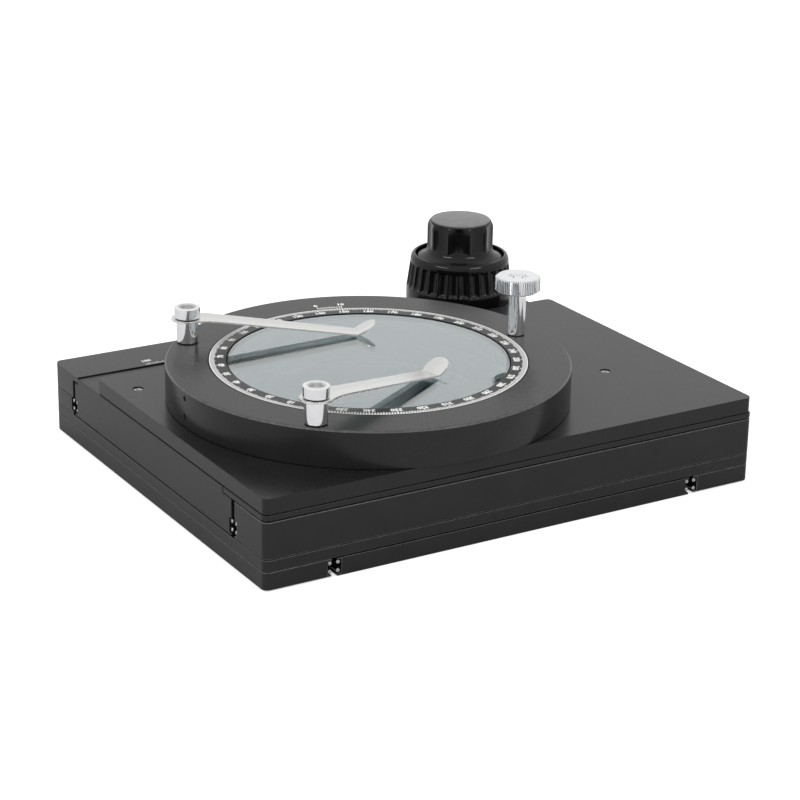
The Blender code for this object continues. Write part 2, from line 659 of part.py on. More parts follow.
def make_cross_plate():
    plate = make_object("cross_plate", slab((-HALF_LENGTH, HALF_LENGTH), (-HALF_DEPTH, HALF_DEPTH),
                                            (CROSS_BOTTOM, CROSS_TOP)), "black_anodised")
    through = (CROSS_BOTTOM - CUT_OVERRUN, CROSS_TOP + CUT_OVERRUN)
    window_y = (RING_Y - Y_TRAVEL[1] - BASE_APERTURE, RING_Y - Y_TRAVEL[0] + BASE_APERTURE)
    window_x = (RING_X - CROSS_APERTURE_SIDE, RING_X + CROSS_APERTURE_SIDE)
    cut(plate, slab(window_x, window_y, through))
    rack_slot_x = (Y_RACK_BACK_X - SEAT_GAP, Y_PITCH_X + TOOTH_TIP + PINION_AIR)
    rack_front = KNOB_Y + Y_TRAVEL[0] - RACK_END_MARGIN - Y_TRAVEL[1] - SLIDE_AIR
    cut(plate, box(rack_slot_x, (rack_front, HALF_DEPTH + CUT_OVERRUN), through))
    cut(plate, cylinder(PINION_POCKET, through, (KNOB_X, KNOB_Y)))
    slot_half = STOP_PIN_RADIUS + SEAT_GAP
    stop_y = (Y_STOP_Y - Y_TRAVEL[1] - slot_half, Y_STOP_Y - Y_TRAVEL[0] + slot_half)
    cut(plate, box((Y_STOP_X - slot_half, Y_STOP_X + slot_half), stop_y, through))
    return plate


def make_lips():
    depth = (-HALF_DEPTH, HALF_DEPTH)
    level = (LIP_CLEARANCE, LIP_TOP)
    left = make_object("left_lip", slab((-HALF_LENGTH, -LIP_INNER_X), depth, level,
                                        (CORNER_RADIUS, 0, 0, CORNER_RADIUS)), "black_anodised")
    right = make_object("right_lip", slab((LIP_INNER_X, HALF_LENGTH), depth, level,
                                          (0, CORNER_RADIUS, CORNER_RADIUS, 0)), "black_anodised")
    cut(left, channel_y(-Y_SLIDE_X))
    cut(right, channel_y(Y_SLIDE_X))
    make_rod_pair("lip_rods_left", LEFT_SLIDE, -1, "Y")
    make_rod_pair("lip_rods_right", RIGHT_SLIDE, 1, "Y")


def make_bars():
    length = (-HALF_LENGTH, HALF_LENGTH)
    front_depth = (-HALF_DEPTH, FRONT_BAR_BACK_Y)
    front_corners = (CORNER_RADIUS, CORNER_RADIUS, 0, 0)
    front = make_object("front_bar", slab(length, front_depth, (BAR_BOTTOM, FRONT_BAR_TOP), front_corners),
                        "black_anodised")
    cut(front, channel_x(X_SLIDE_FRONT_Y))
    block = make_object("back_block", slab(length, (BLOCK_FRONT_Y, HALF_DEPTH), (BAR_BOTTOM, BLOCK_TOP),
                                           (0, 0, CORNER_RADIUS, CORNER_RADIUS)), "black_anodised")
    cut(block, channel_x(X_SLIDE_BACK_Y, BLOCK_TOP + CUT_OVERRUN))
    cut(block, cylinder(SHAFT_BUSH_RADIUS + SEAT_GAP, (CROSS_TOP, COVER_BOTTOM), (KNOB_X, KNOB_Y)))
    make_rod_pair("bar_rods_front", FRONT_SLIDE, -1, "X")
    make_rod_pair("bar_rods_back", BACK_SLIDE, 1, "X")
    pin = cylinder(STOP_PIN_RADIUS, (BAR_BOTTOM, BAR_BOTTOM + X_STOP_HEIGHT), segments=SMALL_SEGMENTS)
    make_object("x_stop_pin", pin, "polished_steel", (X_STOP_X, X_STOP_Y, 0), smooth=True)
    return block


def make_back_screws(cross, block, cover):
    """Screws whose heads sit in the underside of the cross plate, clear of the base."""
    places = [(x, HALF_DEPTH - BACK_SCREW_INSET) for x in BACK_SCREW_COLUMNS]
    seat = CROSS_BOTTOM + SEAT_GAP + M3_HEAD_HEIGHT
    for index, (x, y) in enumerate(places):
        screw = socket_screw(M3_HEAD_RADIUS, M3_HEAD_HEIGHT, M3_SHANK_RADIUS, BACK_SCREW_LENGTH)
        bmesh.ops.rotate(screw, cent=(0, 0, 0), matrix=Matrix.Rotation(math.pi, 3, "X"), verts=screw.verts)
        make_object(f"back_screw_{index + 1}", screw, "polished_steel", (x, y, seat))
    tip = seat + BACK_SCREW_LENGTH + SEAT_GAP
    cut(cross, hole_group(places, M3_SHANK_RADIUS, (CROSS_BOTTOM, CROSS_TOP + CUT_OVERRUN)))
    cut(cross, hole_group(places, M3_HEAD_RADIUS, (CROSS_BOTTOM - CUT_OVERRUN, seat + SEAT_GAP)))
    cut(block, hole_group(places, M3_SHANK_RADIUS, (CROSS_TOP, COVER_BOTTOM)))
    cut(cover, hole_group(places, M3_SHANK_RADIUS, (COVER_BOTTOM - CUT_OVERRUN, tip)))


def make_cover(cross, block):
    lip_bottom = COVER_TOP - COVER_LIP_THICKNESS
    front = X_RACK_SEAT_Y + SEAT_GAP
    length = (-HALF_LENGTH, HALF_LENGTH)
    cover = make_object("back_cover", slab(length, (front, HALF_DEPTH), (COVER_BOTTOM, COVER_TOP),
                                           (0, 0, CORNER_RADIUS, CORNER_RADIUS)), "grey_anodised")
    reach = HALF_LENGTH + CUT_OVERRUN
    under_lip = (COVER_BOTTOM - CUT_OVERRUN, lip_bottom)
    cut(cover, box((-reach, reach), (front - CUT_OVERRUN, BLOCK_FRONT_Y), under_lip))
    axis = (KNOB_X, KNOB_Y)
    cut(cover, cylinder(PINION_POCKET, (COVER_BOTTOM - CUT_OVERRUN, COVER_TOP - COVER_ROOF), axis))
    cut(cover, cylinder(SLEEVE_BUSH_RADIUS + SEAT_GAP, (COVER_BOTTOM, COVER_TOP + CUT_OVERRUN), axis))
    make_back_screws(cross, block, cover)
    make_object("sleeve_bush", turned([
        (SLEEVE_BORE, COVER_TOP - COVER_ROOF), (SLEEVE_BUSH_RADIUS, COVER_TOP - COVER_ROOF),
        (SLEEVE_BUSH_RADIUS, COVER_TOP + SEAT_GAP), (BUSH_FLANGE_RADIUS, COVER_TOP + SEAT_GAP),
        (BUSH_FLANGE_RADIUS, BUSH_FLANGE_TOP), (SLEEVE_BORE, BUSH_FLANGE_TOP)], ROUND_SEGMENTS),
        "brass", (KNOB_X, KNOB_Y, 0), smooth=True)
    bush_span = (BAR_BOTTOM, BLOCK_TOP)
    make_object("shaft_bush", tube(SHAFT_BUSH_RADIUS, SHAFT_BORE, bush_span), "brass",
                (KNOB_X, KNOB_Y, 0), smooth=True)


def make_carriage():
    length = (-HALF_LENGTH, HALF_LENGTH)
    reach = HALF_LENGTH + CUT_OVERRUN
    body = make_object("carriage_body", slab(length, (CARRIAGE_FRONT_Y, CARRIAGE_BACK_Y),
                                             (CARRIAGE_BOTTOM, FLANGE_TOP), (0, 0, 0, 0)), "black_anodised")
    front_step = (CARRIAGE_FRONT_Y - CUT_OVERRUN, APRON_SEAM_Y)
    step_top = (FLANGE_BOTTOM - SEAT_GAP, FLANGE_TOP + CUT_OVERRUN)
    cut(body, box((-reach, reach), front_step, step_top))
    cut(body, joined([channel_x(X_SLIDE_FRONT_Y), channel_x(X_SLIDE_BACK_Y)]))
    back_strip = (X_RACK_SEAT_Y, CARRIAGE_BACK_Y + CUT_OVERRUN)
    under_lip = COVER_TOP - COVER_LIP_THICKNESS - SLIDE_AIR
    cut(body, box((-reach, reach), back_strip, (under_lip, FLANGE_TOP + CUT_OVERRUN)))
    rack_seat = (X_PINION_BOTTOM - SEAT_GAP, FLANGE_TOP + CUT_OVERRUN)
    cut(body, box((X_RACK_START - PINION_AIR, reach), back_strip, rack_seat))
    through = (CARRIAGE_BOTTOM - CUT_OVERRUN, FLANGE_TOP + CUT_OVERRUN)
    cut(body, cylinder(CARRIAGE_APERTURE, through, (RING_X, RING_Y), RING_SEGMENTS))
    slot_half = STOP_PIN_RADIUS + SEAT_GAP
    stop_x = (X_STOP_X - X_TRAVEL[1] - slot_half, X_STOP_X - X_TRAVEL[0] + slot_half)
    stop_top = BAR_BOTTOM + X_STOP_HEIGHT + SLIDE_AIR
    cut(body, box(stop_x, (X_STOP_Y - slot_half, X_STOP_Y + slot_half), (through[0], stop_top)))
    make_rod_pair("carriage_rods_front", FRONT_SLIDE, 1, "X")
    make_rod_pair("carriage_rods_back", BACK_SLIDE, -1, "X")
    return body


def make_x_rack():
    stop = HALF_LENGTH - ROD_INSET
    outline = rack_outline(X_RACK_START, stop, KNOB_X)
    bm = prism(outline, (X_PINION_BOTTOM, X_PINION_BOTTOM + RACK_HEIGHT))
    bmesh.ops.translate(bm, vec=(0, X_PITCH_Y, 0), verts=bm.verts)
    make_object("x_rack", bm, "satin_steel")


def make_apron():
    corners = (CORNER_RADIUS, CORNER_RADIUS, 0, 0)
    depth = (-HALF_DEPTH, APRON_SEAM_Y - SEAT_GAP)
    apron = slab((-HALF_LENGTH, HALF_LENGTH), depth, (FLANGE_BOTTOM, FLANGE_TOP), corners)
    make_object("front_apron", apron, "black_anodised")


def make_stage_plate(body):
    depth = (-HALF_DEPTH + PLATE_FRONT_INSET, PLATE_BACK_Y)
    plate = make_object("stage_plate", slab((-PLATE_HALF, PLATE_HALF), depth, (PLATE_BOTTOM, PLATE_TOP)),
                        "grey_anodised")
    through = (PLATE_BOTTOM - CUT_OVERRUN, PLATE_TOP + CUT_OVERRUN)
    cut(plate, cylinder(PLATE_APERTURE, through, (RING_X, RING_Y), RING_SEGMENTS))
    head = PLATE_TOP - PLATE_COUNTERBORE_DEPTH
    make_screws("plate_screw", PLATE_SCREW_PLACES, head + SEAT_GAP, M3_SHANK_LENGTH)
    cut(plate, hole_group(PLATE_SCREW_PLACES, M3_SHANK_RADIUS, (PLATE_BOTTOM - CUT_OVERRUN, PLATE_TOP)))
    counterbore = PLATE_COUNTERBORE_RADIUS - SEAT_GAP
    cut(plate, hole_group(PLATE_SCREW_PLACES, counterbore, (head, PLATE_TOP + CUT_OVERRUN)))
    tip = head - M3_SHANK_LENGTH
    cut(body, hole_group(PLATE_SCREW_PLACES, M3_SHANK_RADIUS, (tip, FLANGE_TOP + CUT_OVERRUN)))


def make_outer_ring():
    inner = SCALE_RING_RADIUS + RING_GROOVE
    profile = [
        (LEDGE_RADIUS, RING_BOTTOM), (RING_RADIUS, RING_BOTTOM), (RING_RADIUS, RING_TOP - RING_CHAMFER),
        (RING_RADIUS - RING_CHAMFER, RING_TOP), (inner, RING_TOP), (inner, LEDGE_TOP),
        (LEDGE_RADIUS, LEDGE_TOP)]
    centre = (RING_X, RING_Y, 0)
    ring = make_object("outer_ring", turned(profile, RING_SEGMENTS), "grey_anodised", centre, smooth=True)
    outward = Vector((*around(GRUB_ANGLE, 1), 0))
    for name, height in zip(("lower", "upper"), GRUB_HEIGHTS):
        level = Vector((0, 0, RING_BOTTOM + height))
        middle = level + outward * (RING_RADIUS - GRUB_RECESS - GRUB_LENGTH / 2)
        screw = rod(GRUB_RADIUS, GRUB_LENGTH, middle, outward, SMALL_SEGMENTS)
        make_object("ring_grub_" + name, screw, "satin_steel", centre, smooth=True)
        length = GRUB_LENGTH + SEAT_GAP + GRUB_RECESS + CUT_OVERRUN
        middle = level + outward * (RING_RADIUS + CUT_OVERRUN - length / 2)
        cut(ring, rod(GRUB_RADIUS + SEAT_GAP, length, middle, outward, SMALL_SEGMENTS), centre)
    return ring


def make_rotary():
    centre = (RING_X, RING_Y, 0)
    glide_bottom = LEDGE_TOP + SEAT_GAP
    glide = tube(SCALE_RING_RADIUS - GLIDE_INSET, LEDGE_RADIUS + GLIDE_INSET,
                 (glide_bottom, glide_bottom + GLIDE_THICKNESS), SEAL_SEGMENTS)
    make_object("glide_ring", glide, "glide_plastic", centre, smooth=True)
    pocket = GLASS_RADIUS + SEAT_GAP
    profile = [
        (SCALE_RING_BORE, SCALE_RING_BOTTOM), (SCALE_RING_RADIUS, SCALE_RING_BOTTOM),
        (SCALE_RING_RADIUS, RING_TOP), (pocket, RING_TOP), (pocket, GLASS_SEAT),
        (SCALE_RING_BORE, GLASS_SEAT)]
    make_object("scale_ring", turned(profile, RING_SEGMENTS), "black_anodised", centre, smooth=True)
    make_object("glass_plate", cylinder(GLASS_RADIUS, (GLASS_BOTTOM, GLASS_TOP), segments=RING_SEGMENTS),
                "plate_glass", centre, smooth=True)
    gasket_bottom = GLASS_SEAT + SEAT_GAP
    gasket = tube(GLASS_RADIUS - GLIDE_INSET, SCALE_RING_BORE + SEAT_GAP,
                  (gasket_bottom, gasket_bottom + GASKET_THICKNESS), SEAL_SEGMENTS)
    make_object("glass_gasket", gasket, "black_rubber", centre, smooth=True)


def leaf_stations():
    """Places along the leaf as (x, half width, height of the underside)."""
    flat = LEAF_BOTTOM
    contact = RING_TOP + SEAT_GAP
    stations = []
    for step in range(LEAF_EYE_STEPS + 1):
        angle = math.pi - step / LEAF_EYE_STEPS * math.radians(LEAF_EYE_SWEEP)
        half = LEAF_EYE_RADIUS * math.sin(angle)
        stations.append((LEAF_EYE_RADIUS * math.cos(angle), half, flat))
    stations.append((LEAF_NECK_X, LEAF_NECK_HALF, flat))
    for share in LEAF_SLOPE_SHARES:
        x = LEAF_NECK_X + (LEAF_BEND_X - LEAF_NECK_X) * share
        half = LEAF_NECK_HALF + (LEAF_BEND_HALF - LEAF_NECK_HALF) * share
        stations.append((x, half, flat + (contact - flat) * share))
    lift = LEAF_TIP_RISE * LEAF_ROLL_SHARE
    roll = LEAF_TIP_LENGTH * LEAF_ROLL_SHARE
    stations.append((LEAF_BEND_X - roll, LEAF_BEND_HALF, contact + lift / 2))
    stations.append((LEAF_BEND_X, LEAF_BEND_HALF, contact))
    stations.append((LEAF_BEND_X + roll, LEAF_BEND_HALF, contact + lift / 2))
    stations.append((LEAF_TIP_X - roll, LEAF_BEND_HALF, contact + LEAF_TIP_RISE - lift))
    stations.append((LEAF_TIP_X, LEAF_TIP_HALF, contact + LEAF_TIP_RISE))
    return stations


def leaf_body():
    bm = bmesh.new()
    rows = []
    for x, half, z in leaf_stations():
        if half < MERGE_DISTANCE:
            rows.append([bm.verts.new((x, 0, z))])
        else:
            rows.append([bm.verts.new((x, -half, z)), bm.verts.new((x, half, z))])
    faces = []
    for first, second in zip(rows, rows[1:]):
        corners = first + second[::-1]
        faces.append(bm.faces.new(corners))
    raised = bmesh.ops.extrude_face_region(bm, geom=faces)["geom"]
    tops = [item for item in raised if isinstance(item, bmesh.types.BMVert)]
    bmesh.ops.translate(bm, vec=(0, 0, LEAF_THICKNESS), verts=tops)
    return bm


def make_clip(place_name, post_angle, leaf_angle, ring):
    """Post, cap screw and spring leaf of one slide clip."""
    x, y = on_ring(post_angle, CLIP_CIRCLE)
    stud_bottom = POST_BOTTOM - POST_STUD_LENGTH
    post_top = POST_BOTTOM + POST_HEIGHT
    well = CAP_SHANK_RADIUS + SEAT_GAP
    shank_bottom = CAP_BOTTOM - CAP_SHANK_LENGTH
    make_object("clip_post_" + place_name, turned([
        (0, stud_bottom), (POST_STUD_RADIUS, stud_bottom), (POST_STUD_RADIUS, POST_BOTTOM),
        (POST_RADIUS - POST_CHAMFER, POST_BOTTOM), (POST_RADIUS, POST_BOTTOM + POST_CHAMFER),
        (POST_RADIUS, post_top - POST_CHAMFER), (POST_RADIUS - POST_CHAMFER, post_top), (well, post_top),
        (well, shank_bottom - SEAT_GAP), (0, shank_bottom - SEAT_GAP)], ROUND_SEGMENTS, closed=False),
        "chrome", (x, y, 0), smooth=True)
    cut(ring, cylinder(POST_STUD_RADIUS + SEAT_GAP, (stud_bottom - SEAT_GAP, RING_TOP + CUT_OVERRUN),
                       (x - RING_X, y - RING_Y), SMALL_SEGMENTS), (RING_X, RING_Y, 0))
    socket = CAP_RADIUS * SOCKET_SHARE
    cap_top = CAP_BOTTOM + CAP_HEIGHT
    floor = cap_top - CAP_HEIGHT * SOCKET_DEPTH_SHARE
    make_object("clip_cap_" + place_name, turned([
        (0, shank_bottom), (CAP_SHANK_RADIUS, shank_bottom), (CAP_SHANK_RADIUS, CAP_BOTTOM),
        (CAP_RADIUS, CAP_BOTTOM), (CAP_RADIUS, cap_top - POST_CHAMFER), (CAP_RADIUS - POST_CHAMFER, cap_top),
        (socket, cap_top), (socket, floor), (0, floor)], ROUND_SEGMENTS, closed=False),
        "chrome", (x, y, 0), smooth=True)
    leaf = make_object("clip_leaf_" + place_name, leaf_body(), "satin_steel", (x, y, 0),
                       math.radians(leaf_angle), smooth=True)
    eye_span = (LEAF_BOTTOM - CUT_OVERRUN, CAP_BOTTOM + CUT_OVERRUN)
    cut(leaf, cylinder(well, eye_span, segments=SMALL_SEGMENTS), (x, y, 0))


def make_clamp(ring):
    x, y = on_ring(CLAMP_ANGLE, CLAMP_CIRCLE)
    shaft_bottom = RING_TOP + SEAT_GAP
    shaft_top = shaft_bottom + CLAMP_SHAFT_LENGTH
    thread_bottom = shaft_bottom - CLAMP_THREAD_LENGTH
    tenon_top = shaft_top + CLAMP_TENON_LENGTH
    make_object("clamp_spindle", turned([
        (0, thread_bottom), (CLAMP_THREAD_RADIUS - CLAMP_POINT, thread_bottom),
        (CLAMP_THREAD_RADIUS, thread_bottom + CLAMP_POINT), (CLAMP_THREAD_RADIUS, shaft_bottom),
        (CLAMP_SHAFT_RADIUS, shaft_bottom), (CLAMP_SHAFT_RADIUS, shaft_top), (CLAMP_TENON_RADIUS, shaft_top),
        (CLAMP_TENON_RADIUS, tenon_top), (0, tenon_top)], ROUND_SEGMENTS, closed=False),
        "chrome", (x, y, 0), smooth=True)
    head_bottom = shaft_top + SEAT_GAP
    head_top = head_bottom + CLAMP_HEAD_HEIGHT
    bore = CLAMP_TENON_RADIUS + SEAT_GAP
    edge = CLAMP_HEAD_RADIUS - CLAMP_HEAD_CHAMFER
    profile = [
        (bore, head_bottom), (edge, head_bottom), (CLAMP_HEAD_RADIUS, head_bottom + CLAMP_HEAD_CHAMFER),
        (CLAMP_HEAD_RADIUS, head_top - CLAMP_HEAD_CHAMFER), (edge, head_top), (bore, head_top)]
    head = turned(profile, CLAMP_HEAD_TEETH * 2)

    def knurl(radius, angle, height):
        valley = round(angle / math.tau * CLAMP_HEAD_TEETH * 2) % 2 == 0
        outside = radius > CLAMP_HEAD_RADIUS - MERGE_DISTANCE
        return radius - (CLAMP_TOOTH_DEPTH if valley and outside else 0), angle

    move_rings(head, knurl)
    make_object("clamp_head", head, "chrome", (x, y, 0))
    hole = (thread_bottom - SEAT_GAP, RING_TOP + CUT_OVERRUN)
    local = (x - RING_X, y - RING_Y)
    cut(ring, cylinder(CLAMP_THREAD_RADIUS + SEAT_GAP, hole, local, SMALL_SEGMENTS), (RING_X, RING_Y, 0))
    make_shoe(ring)


def make_shoe(ring):
    """Brass shoe that the clamp screw wedges against the rim of the scale ring."""
    inner = SCALE_RING_RADIUS + RING_GROOVE
    bottom = RING_BOTTOM + SHOE_LIFT
    half = SHOE_WIDTH / 2
    turn = math.radians(CLAMP_ANGLE)
    centre = (RING_X, RING_Y, 0)
    shoe = box((inner, inner + SHOE_LENGTH), (-half, half), (bottom, bottom + SHOE_HEIGHT))
    make_object("clamp_shoe", shoe, "brass", centre, turn)
    wide = half + SEAT_GAP
    pocket = box((inner - CUT_OVERRUN, inner + SHOE_LENGTH + SEAT_GAP), (-wide, wide),
                 (bottom - SEAT_GAP, bottom + SHOE_HEIGHT + SEAT_GAP))
    bmesh.ops.rotate(pocket, cent=(0, 0, 0), matrix=Matrix.Rotation(turn, 3, "Z"), verts=pocket.verts)
    cut(ring, pocket, centre)


def fluted(bm, count, steps, depth, z_span, core):
    """Presses concave flutes into the vertices outside the core, between two heights."""
    def flute(radius, angle, height):
        if not z_span[0] < height < z_span[1] or radius < core:
            return radius, angle
        phase = round(angle / math.tau * count * steps) % steps
        hollow = math.sin(math.pi * max(phase - 1, 0) / (steps - 1))
        return radius - depth * hollow, angle

    move_rings(bm, flute)


def make_lower_knob():
    low = LOWER_KNOB_BOTTOM
    flute_low = low + LOWER_SKIRT_HEIGHT
    flute_high = flute_low + LOWER_FLUTE_HEIGHT
    hollow_top = low + LOWER_HOLLOW_HEIGHT
    taper = (LOWER_KNOB_RADIUS - LOWER_KNOB_SHOULDER) * LOWER_TAPER_SHARE
    profile = [
        (LOWER_HOLLOW_RADIUS, low), (LOWER_KNOB_RADIUS, low), (LOWER_KNOB_RADIUS, flute_low),
        (LOWER_KNOB_RADIUS - taper, flute_low + LOWER_FLUTE_RUNOUT),
        (LOWER_KNOB_SHOULDER + taper, flute_high - LOWER_FLUTE_RUNOUT),
        (LOWER_KNOB_SHOULDER, flute_high), (LOWER_KNOB_SHOULDER, LOWER_KNOB_TOP - LOWER_SHOULDER_DROP),
        (LOWER_KNOB_RIM, LOWER_KNOB_TOP), (LOWER_WELL_RADIUS, LOWER_KNOB_TOP),
        (LOWER_WELL_RADIUS, LOWER_WELL_FLOOR), (SLEEVE_BORE, LOWER_WELL_FLOOR), (SLEEVE_BORE, hollow_top),
        (LOWER_HOLLOW_RADIUS, hollow_top)]
    bm = turned(profile, LOWER_FLUTES * LOWER_FLUTE_STEPS)
    core = LOWER_WELL_RADIUS + SEAT_GAP
    fluted(bm, LOWER_FLUTES, LOWER_FLUTE_STEPS, LOWER_FLUTE_DEPTH, (flute_low, flute_high), core)
    axis = (KNOB_X, KNOB_Y, 0)
    knob = make_object("lower_knob", bm, "gloss_black_plastic", axis, smooth=True)
    outward = Vector((*around(LOWER_GRUB_ANGLE, 1), 0))
    height = Vector((0, 0, low + LOWER_GRUB_LIFT))
    middle = Vector(axis) + height + outward * (SLEEVE_BORE + LOWER_GRUB_LENGTH / 2)
    grub = rod(LOWER_GRUB_RADIUS, LOWER_GRUB_LENGTH, middle, outward, SMALL_SEGMENTS)
    make_object("lower_knob_grub", grub, "polished_steel", smooth=True)
    reach = LOWER_KNOB_RADIUS + CUT_OVERRUN
    hole_middle = height + outward * reach / 2
    cut(knob, rod(LOWER_GRUB_RADIUS + SEAT_GAP, reach, hole_middle, outward, SMALL_SEGMENTS), axis)


def make_hollow_shaft():
    top = LOWER_WELL_FLOOR - SEAT_GAP
    low = X_PINION_BOTTOM - SEAT_GAP
    make_object("hollow_shaft", tube(SLEEVE_RADIUS, SLEEVE_INNER, (low, top)), "satin_steel",
                (KNOB_X, KNOB_Y, 0), smooth=True)
    make_pinion("x_pinion", SLEEVE_BORE, (X_PINION_BOTTOM, X_PINION_TOP), -math.pi / 2)


def make_upper_knob():
    low = UPPER_KNOB_BOTTOM
    foot_top = low + UPPER_FOOT_HEIGHT
    flute_low = UPPER_FLUTE_BOTTOM
    flute_high = flute_low + UPPER_FLUTE_HEIGHT
    screw_radius = KNOB_SCREW_HEAD_RADIUS + SEAT_GAP
    profile = [
        (SHAFT_BORE, low), (UPPER_FOOT_RADIUS, low), (UPPER_FOOT_RADIUS, foot_top),
        (UPPER_KNOB_RADIUS + UPPER_FLUTE_RUNOUT, foot_top + UPPER_NECK_RISE / 2),
        (UPPER_KNOB_RADIUS, flute_low), (UPPER_KNOB_RADIUS, flute_low + UPPER_FLUTE_RUNOUT),
        (UPPER_KNOB_RADIUS, flute_high - UPPER_FLUTE_RUNOUT), (UPPER_KNOB_RADIUS, flute_high),
        (KNOB_CAP_RADIUS + 2 * SEAT_GAP, UPPER_KNOB_TOP), (KNOB_CAP_RADIUS + SEAT_GAP, UPPER_KNOB_TOP),
        (KNOB_CAP_RADIUS + SEAT_GAP, KNOB_WELL_FLOOR), (screw_radius, KNOB_WELL_FLOOR),
        (screw_radius, SHAFT_TOP), (SHAFT_BORE, SHAFT_TOP)]
    bm = turned(profile, UPPER_FLUTES * UPPER_FLUTE_STEPS)
    core = KNOB_CAP_RADIUS + 2 * SEAT_GAP
    fluted(bm, UPPER_FLUTES, UPPER_FLUTE_STEPS, UPPER_FLUTE_DEPTH, (flute_low, flute_high), core)
    axis = (KNOB_X, KNOB_Y, 0)
    make_object("upper_knob", bm, "gloss_black_plastic", axis, smooth=True)
    cap_low = KNOB_WELL_FLOOR + SEAT_GAP
    cap_edge = cap_low + KNOB_CAP_HEIGHT
    make_object("knob_cap", turned([
        (0, cap_low), (KNOB_CAP_RADIUS, cap_low), (KNOB_CAP_RADIUS, cap_edge),
        (KNOB_CAP_RADIUS * CROWN_RADIUS_SHARE, cap_edge + KNOB_CAP_CROWN * CROWN_HEIGHT_SHARE),
        (0, cap_edge + KNOB_CAP_CROWN)],
        RING_SEGMENTS // 2, closed=False), "grey_cap_plastic", axis, smooth=True)


def make_drive_shaft():
    axis = (KNOB_X, KNOB_Y, 0)
    low = CROSS_BOTTOM + SEAT_GAP
    screw_seat = SHAFT_TOP + SEAT_GAP
    well = M3_SHANK_RADIUS + SEAT_GAP
    well_floor = screw_seat - M3_SHANK_LENGTH - SEAT_GAP
    make_object("drive_shaft", turned([
        (0, low), (SHAFT_RADIUS, low), (SHAFT_RADIUS, SHAFT_TOP), (well, SHAFT_TOP),
        (well, well_floor), (0, well_floor)], ROUND_SEGMENTS, closed=False), "satin_steel", axis, smooth=True)
    screw = socket_screw(KNOB_SCREW_HEAD_RADIUS, M3_HEAD_HEIGHT, M3_SHANK_RADIUS, M3_SHANK_LENGTH)
    make_object("knob_screw", screw, "polished_steel", (KNOB_X, KNOB_Y, screw_seat))
    make_pinion("y_pinion", SHAFT_BORE, (low, low + PINION_HEIGHT), math.pi)


def build_stage():
    clear_scene()
    make_base()
    make_y_rack()
    make_cage("y_cage_left", LEFT_SLIDE, "Y")
    make_cage("y_cage_right", RIGHT_SLIDE, "Y")
    cross = make_cross_plate()
    make_lips()
    block = make_bars()
    make_cover(cross, block)
    make_cage("x_cage_front", FRONT_SLIDE, "X")
    make_cage("x_cage_back", BACK_SLIDE, "X")
    body = make_carriage()
    make_x_rack()
    make_apron()
    make_stage_plate(body)
    ring = make_outer_ring()
    make_rotary()
    make_clip("back", BACK_CLIP_ANGLE, BACK_LEAF_ANGLE, ring)
    make_clip("front", FRONT_CLIP_ANGLE, FRONT_LEAF_ANGLE, ring)
    make_clamp(ring)
    make_lower_knob()
    make_hollow_shaft()
    make_upper_knob()
    make_drive_shaft()


build_stage()
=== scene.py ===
# %% [markdown]
# # Dressing a mechanical microscope stage
# The stage is a stack of anodised plates on ball slides, with a turning glass ring on top and two
# knobs one inside the other at the back corner. The measured model comes in as a fixed frame. The
# lesson gives each of its pieces the shape and finish that the eye sees.

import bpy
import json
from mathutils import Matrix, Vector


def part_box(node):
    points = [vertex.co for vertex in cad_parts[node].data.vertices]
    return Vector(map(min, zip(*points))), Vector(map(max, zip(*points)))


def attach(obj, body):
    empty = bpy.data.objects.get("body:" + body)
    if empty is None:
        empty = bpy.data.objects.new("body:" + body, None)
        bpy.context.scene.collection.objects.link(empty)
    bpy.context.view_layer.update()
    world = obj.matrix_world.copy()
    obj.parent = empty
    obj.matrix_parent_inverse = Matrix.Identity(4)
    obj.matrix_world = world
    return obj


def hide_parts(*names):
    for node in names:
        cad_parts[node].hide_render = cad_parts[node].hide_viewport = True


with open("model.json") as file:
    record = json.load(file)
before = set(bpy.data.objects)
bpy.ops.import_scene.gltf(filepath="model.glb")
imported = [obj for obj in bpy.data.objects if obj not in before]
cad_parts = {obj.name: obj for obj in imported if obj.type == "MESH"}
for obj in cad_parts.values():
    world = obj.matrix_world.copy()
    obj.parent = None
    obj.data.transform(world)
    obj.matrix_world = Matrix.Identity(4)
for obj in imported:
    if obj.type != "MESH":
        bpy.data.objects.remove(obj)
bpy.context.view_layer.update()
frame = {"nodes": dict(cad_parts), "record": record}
nodes = frame["nodes"]
print("pieces of the frame:", len(nodes))

# %% [markdown]
# ## Python's own helpers
# bmesh holds a mesh while it is being shaped, and Matrix and Vector place it. The numbers below are
# the places that the measured model already has, in metres: the gap left between seated pieces, the
# middle of the ring, the axis of the knobs and the level of the ring's top. Two small helpers read the
# heights and the middle of any node.

# %% Modules and shared places
import json
import math

import bmesh
import bpy
from mathutils import Matrix, Vector

MM = 0.001
SEAT_GAP = 0.3 * MM
RING_MIDDLE = Vector((-0.0287, -0.0205, 0))
KNOB_AXIS = Vector((0.1011, 0.101, 0))


def span(node):
    """Lowest and highest level of a node."""
    low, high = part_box(node)
    return low[2], high[2]


def middle_of(node):
    """Middle of a node as seen from above."""
    low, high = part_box(node)
    return (low[0] + high[0]) / 2, (low[1] + high[1]) / 2


RING_TOP = span("outer_ring")[1]
print("top of the ring at", round(RING_TOP / MM, 2), "mm")

# %% [markdown]
# ## The camera
# A real product shot is taken from a step away with a long lens, so that the far edges of the plates
# hardly converge. The place and the three directions of the camera were worked out from the straight
# edges of the plates. A matrix of right, up and backward sets all three turns at once, which is
# easier to keep exact than three separate angles.

